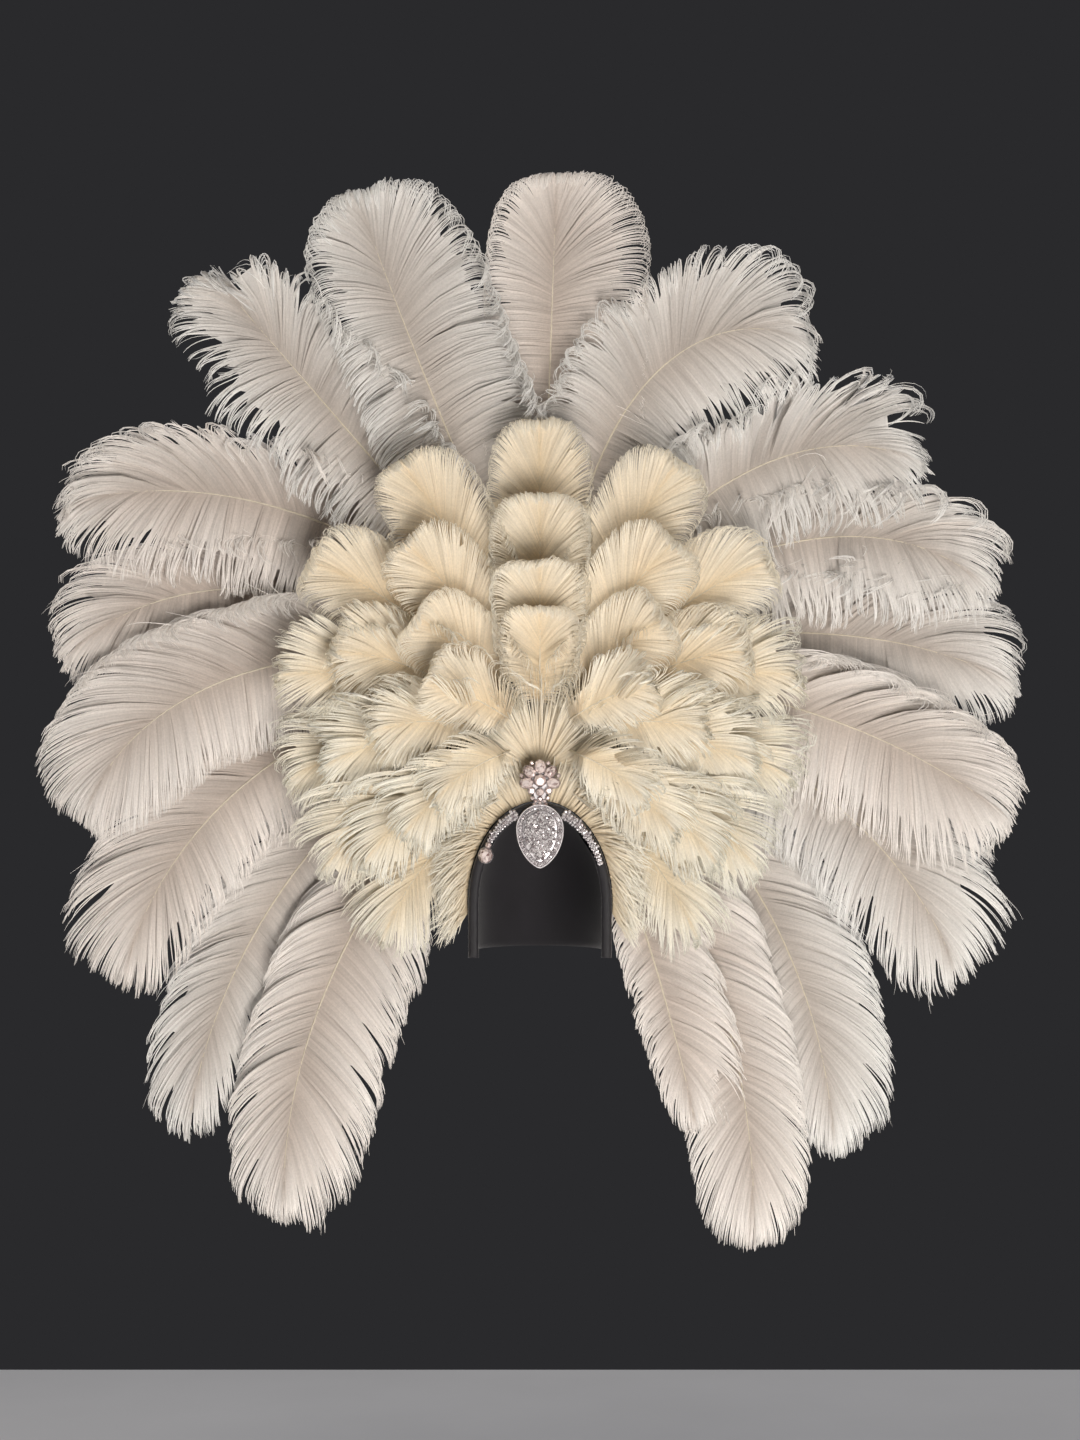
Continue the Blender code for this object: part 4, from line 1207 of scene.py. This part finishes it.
# The flower's stones: angles from upright, reach, half width, half length, height, lift
FLOWER = (
    ((0.0,), 0.0, 0.0078, 0.0078, 0.0062, 0.0018),
    ((-100.0, -50.0), 0.0165, 0.0071, 0.0088, 0.0054, 0.0004),
    ((0.0,), 0.0165, 0.0071, 0.0088, 0.0054, 0.0010),
    ((50.0, 100.0), 0.0165, 0.0071, 0.0088, 0.0054, 0.0004),
    ((-75.0, -25.0, 25.0, 75.0), 0.0232, 0.0025, 0.0025, 0.0038, 0.0),
    ((-140.0,), 0.0160, 0.0046, 0.0046, 0.0046, 0.0),
    ((-156.8,), 0.0230, 0.0026, 0.0026, 0.0036, 0.0),
    ((140.0,), 0.0160, 0.0046, 0.0046, 0.0046, 0.0),
    ((156.8,), 0.0230, 0.0026, 0.0026, 0.0036, 0.0),
    ((180.0,), 0.0140, 0.0050, 0.0050, 0.0046, 0.0008),
    ((180.0,), 0.0222, 0.0030, 0.0030, 0.0038, 0.0),
    ((180.0,), 0.0278, 0.0026, 0.0026, 0.0036, 0.0),
    ((168.0, 192.0), 0.0255, 0.0022, 0.0022, 0.0032, 0.0),
    ((167.0, 193.0), 0.0300, 0.0022, 0.0022, 0.0032, 0.0),
)


# The sprays: name, side, begin and end in degrees from the rim's top, and stones along their middle
SPRAYS = (("left_spray", -1, 20.0, 50.0, 12), ("right_spray", 1, 20.0, 66.0, 18))


class HEADDRESS_OT_pear(bpy.types.Operator):
    """Set the pear-shaped plaque with its rim, its outer row and the raised field of stones"""
    bl_idname = "headdress.pear"
    bl_label = "Pear plaque"

    def execute(self, context):
        back = ORNAMENT_BACK - 0.0019
        turns = [2.0 * math.pi * k / 96 for k in range(96)]
        plate = lofted_plate([(back - deep, [pear_outline(t, grow) for t in turns])
                              for deep, grow in PEAR_STEPS])
        stones = row_of_stones(0.0042, 0.0017, 0.0024, 0.0)
        stones += field_of_stones(0.0095, 0.0018, 0.0022)
        set_stones("pear", "pear_pendant", stones, back - 0.0030, plate, context, 16.0, (1.2, 0.7))
        return {"FINISHED"}


class HEADDRESS_OT_brooch(bpy.types.Operator):
    """Set the flower of large stones above the pear"""
    bl_idname = "headdress.brooch"
    bl_label = "Flower brooch"

    def execute(self, context):
        front = ORNAMENT_BACK - PLATE_THICKNESS
        foot = CAP_HEIGHT - 2 * RIM_HALF_WIDTH
        outline = []
        for k in range(44):
            turned = math.radians(-60.0 + 300.0 * k / 43)
            outline.append((0.015 * math.cos(turned), BROOCH_Z + 0.015 * math.sin(turned)))
        outline += [(-0.0080, foot), (0.0080, foot)]
        plate = lofted_plate([(ORNAMENT_BACK, outline), (front, outline)])
        stones = []
        for angles, reach, half_width, half_length, height, lift in FLOWER:
            for turned in map(math.radians, angles):
                stones.append((reach * math.sin(turned), BROOCH_Z + reach * math.cos(turned),
                               half_width, half_length, height, turned, lift))
        set_stones("brooch", "top_brooch", stones, front, plate, context, 8.0, (1.4, 0.9), rose=True)
        return {"FINISHED"}


def rim_place(side, degrees):
    """A point of the rim's line so far from its top, and the way out from the head there."""
    x, z = rim_point(0.5 * math.pi - side * math.radians(degrees))
    return x, z, Vector((x / CAP_HALF_WIDTH ** 2, z / CAP_HEIGHT ** 2)).normalized()


class HEADDRESS_OT_sprays(bpy.types.Operator):
    """Set the two curved sprays of stones along the rim"""
    bl_idname = "headdress.sprays"
    bl_label = "Sprays"

    def execute(self, context):
        front = ORNAMENT_BACK - PLATE_THICKNESS
        for name, side, begin, end, count in SPRAYS:
            outer, inner, stones = [], [], []
            for k in range(33):
                x, z, out = rim_place(side, begin + (end - begin) * k / 32)
                half = SPRAY_HALF_WIDTH * (1.0 - 0.35 * k / 32)
                outer.append((x + out.x * half, z + out.y * half))
                inner.append((x - out.x * half, z - out.y * half))
            for k in range(count):
                share = (k + 0.5) / count
                x, z, out = rim_place(side, begin + (end - begin) * share)
                narrow = 1.0 - 0.40 * share
                big, small = 0.0026 * narrow, 0.0018 * narrow
                stones.append((x, z, big, big, 0.0032, 0.5 * k, 0.0004))
                for across in (-1.0, 1.0):
                    reach = across * (0.0042 + 0.0006 * math.sin(2.2 * k)) * narrow
                    stones.append((x + out.x * reach, z + out.y * reach, small, small, 0.0026,
                                   0.9 * k, 0.0))
                if k % 4 == 1 and share < 0.8:
                    reach = 0.0064 * narrow
                    stones.append((x + out.x * reach, z + out.y * reach, 0.0016, 0.0022, 0.0028,
                                   side * share, 0.0))
            outline = outer + inner[::-1]
            plate = lofted_plate([(ORNAMENT_BACK, outline), (front, outline)])
            set_stones(name, name, stones, front, plate, context, 12.0, (1.2, 0.7))
        return {"FINISHED"}


class HEADDRESS_OT_drop(bpy.types.Operator):
    """Set the drop stone and its cap stone at the end of the left spray"""
    bl_idname = "headdress.drop"
    bl_label = "Left drop"

    def execute(self, context):
        front = ORNAMENT_BACK - 0.0016
        x, z = DROP_PLACE
        wide, tall = DROP_HALF_SIZE
        outlines = []
        for y, scale in ((ORNAMENT_BACK, 1.0), (front - 0.0008, 1.0), (front - 0.0014, 0.94),
                         (front - 0.0008, 0.88)):
            outlines.append((y, [(x + a, z + b) for a, b in oval(wide * scale, tall * scale, 40)]))
        stones = [(x, z - 0.0002, 0.0084, 0.0094, 0.0066, 0.0, 0.0006),
                  (x + 0.0030, z + 0.0122, 0.0036, 0.0038, 0.0042, 0.0, 0.0)]
        set_stones("left_drop", "left_drop", stones, front, lofted_plate(outlines), context, 2.5,
                   (2.2, 1.2), rose=True)
        return {"FINISHED"}


# Studio

# The lamps: name, place, size in metres, power in watts and colour
LAMPS = (
    ("overhead", (-0.3, -1.6, 2.9), 0.6, 27.0, "#FFFAF4"),
    ("front", (0.9, -2.4, -0.1), 0.6, 12.0, "#FFFBF5"),
    ("low", (0.35, -2.0, -0.80), 1.1, 41.0, "#FFF9F4"),
    ("back_left", (-2.0, 1.5, 1.8), 1.2, 30.0, "#F4F6FF"),
    ("back_right", (2.0, 1.5, 1.7), 1.2, 30.0, "#F4F6FF"),
)


def aim(item, target):
    """Turn a lamp to a point."""
    item.rotation_euler = (Vector(target) - item.location).to_track_quat("-Z", "Y").to_euler()


class HEADDRESS_OT_stage(bpy.types.Operator):
    """Lay the pale floor and set the soft lights and the camera"""
    bl_idname = "headdress.stage"
    bl_label = "Studio"

    def execute(self, context):
        stage = context.scene.headdress_stage
        scene = context.scene
        maker = bmesh.new()
        bmesh.ops.create_grid(maker, x_segments=8, y_segments=8, size=FLOOR_HALF_SIZE)
        mesh = bpy.data.meshes.new("studio_floor")
        maker.to_mesh(mesh)
        maker.free()
        floor = bpy.data.objects.new("studio_floor", mesh)
        floor.location = (0.0, 0.0, stage.floor_level)
        mesh.materials.append(studio_floor("matt_grey_floor_paint"))
        scene.collection.objects.link(floor)
        for name, place, size, power, tint in LAMPS:
            data = bpy.data.lights.new(name, "AREA")
            data.size = size
            data.energy = power
            data.color = srgb(tint)
            lamp = bpy.data.objects.new(name, data)
            lamp.location = place
            aim(lamp, (0.0, 0.0, 0.25))
            scene.collection.objects.link(lamp)
        world = bpy.data.worlds.new("studio")
        world.use_nodes = True
        backdrop = world.node_tree.nodes["Background"]
        backdrop.inputs["Color"].default_value = (*stage.background, 1.0)
        backdrop.inputs["Strength"].default_value = 1.0
        scene.world = world
        scene.view_settings.view_transform = "Standard"
        lens = bpy.data.cameras.new("camera")
        lens.sensor_fit = "VERTICAL"
        lens.sensor_height = 24.0
        lens.lens = 24.0 * stage.camera_distance / stage.view_height
        camera = bpy.data.objects.new("camera", lens)
        camera.location = (0.0, -stage.view_plane - stage.camera_distance, stage.view_middle)
        camera.rotation_euler = (0.5 * math.pi, 0.0, 0.0)
        scene.collection.objects.link(camera)
        scene.camera = camera
        return {"FINISHED"}


OPERATORS = (
    HEADDRESS_OT_stage, HEADDRESS_OT_plumes, HEADDRESS_OT_short_feathers, HEADDRESS_OT_cap,
    HEADDRESS_OT_rim, HEADDRESS_OT_board, HEADDRESS_OT_pear, HEADDRESS_OT_brooch, HEADDRESS_OT_sprays,
    HEADDRESS_OT_drop,
)
GROUPS = {
    "headdress_feathers": FeatherSettings,
    "headdress_cloth": ClothSettings,
    "headdress_stones": StoneSettings,
    "headdress_stage": StageSettings,
}


class HEADDRESS_PT_panel(bpy.types.Panel):
    """Lists the pieces of the headdress and their sizes and colours"""
    bl_label = "Headdress"
    bl_space_type = "VIEW_3D"
    bl_region_type = "UI"
    bl_category = "Headdress"

    def draw(self, context):
        for name, group in GROUPS.items():
            box = self.layout.box()
            for key in group.__annotations__:
                box.prop(getattr(context.scene, name), key)
        for operator in OPERATORS:
            self.layout.operator(operator.bl_idname)


CLASSES = (*GROUPS.values(), *OPERATORS, HEADDRESS_PT_panel)


def register():
    for kind in CLASSES:
        bpy.utils.register_class(kind)
    for name, group in GROUPS.items():
        setattr(bpy.types.Scene, name, bpy.props.PointerProperty(type=group))


def unregister():
    for name in GROUPS:
        delattr(bpy.types.Scene, name)
    for kind in reversed(CLASSES):
        bpy.utils.unregister_class(kind)


def main():
    register()
    bpy.ops.headdress.stage()
    bpy.ops.headdress.plumes()
    bpy.ops.headdress.short_feathers()
    bpy.ops.headdress.cap()
    bpy.ops.headdress.rim()
    bpy.ops.headdress.board()
    bpy.ops.headdress.pear()
    bpy.ops.headdress.brooch()
    bpy.ops.headdress.sprays()
    bpy.ops.headdress.drop()


if __name__ == "__main__":
    main()
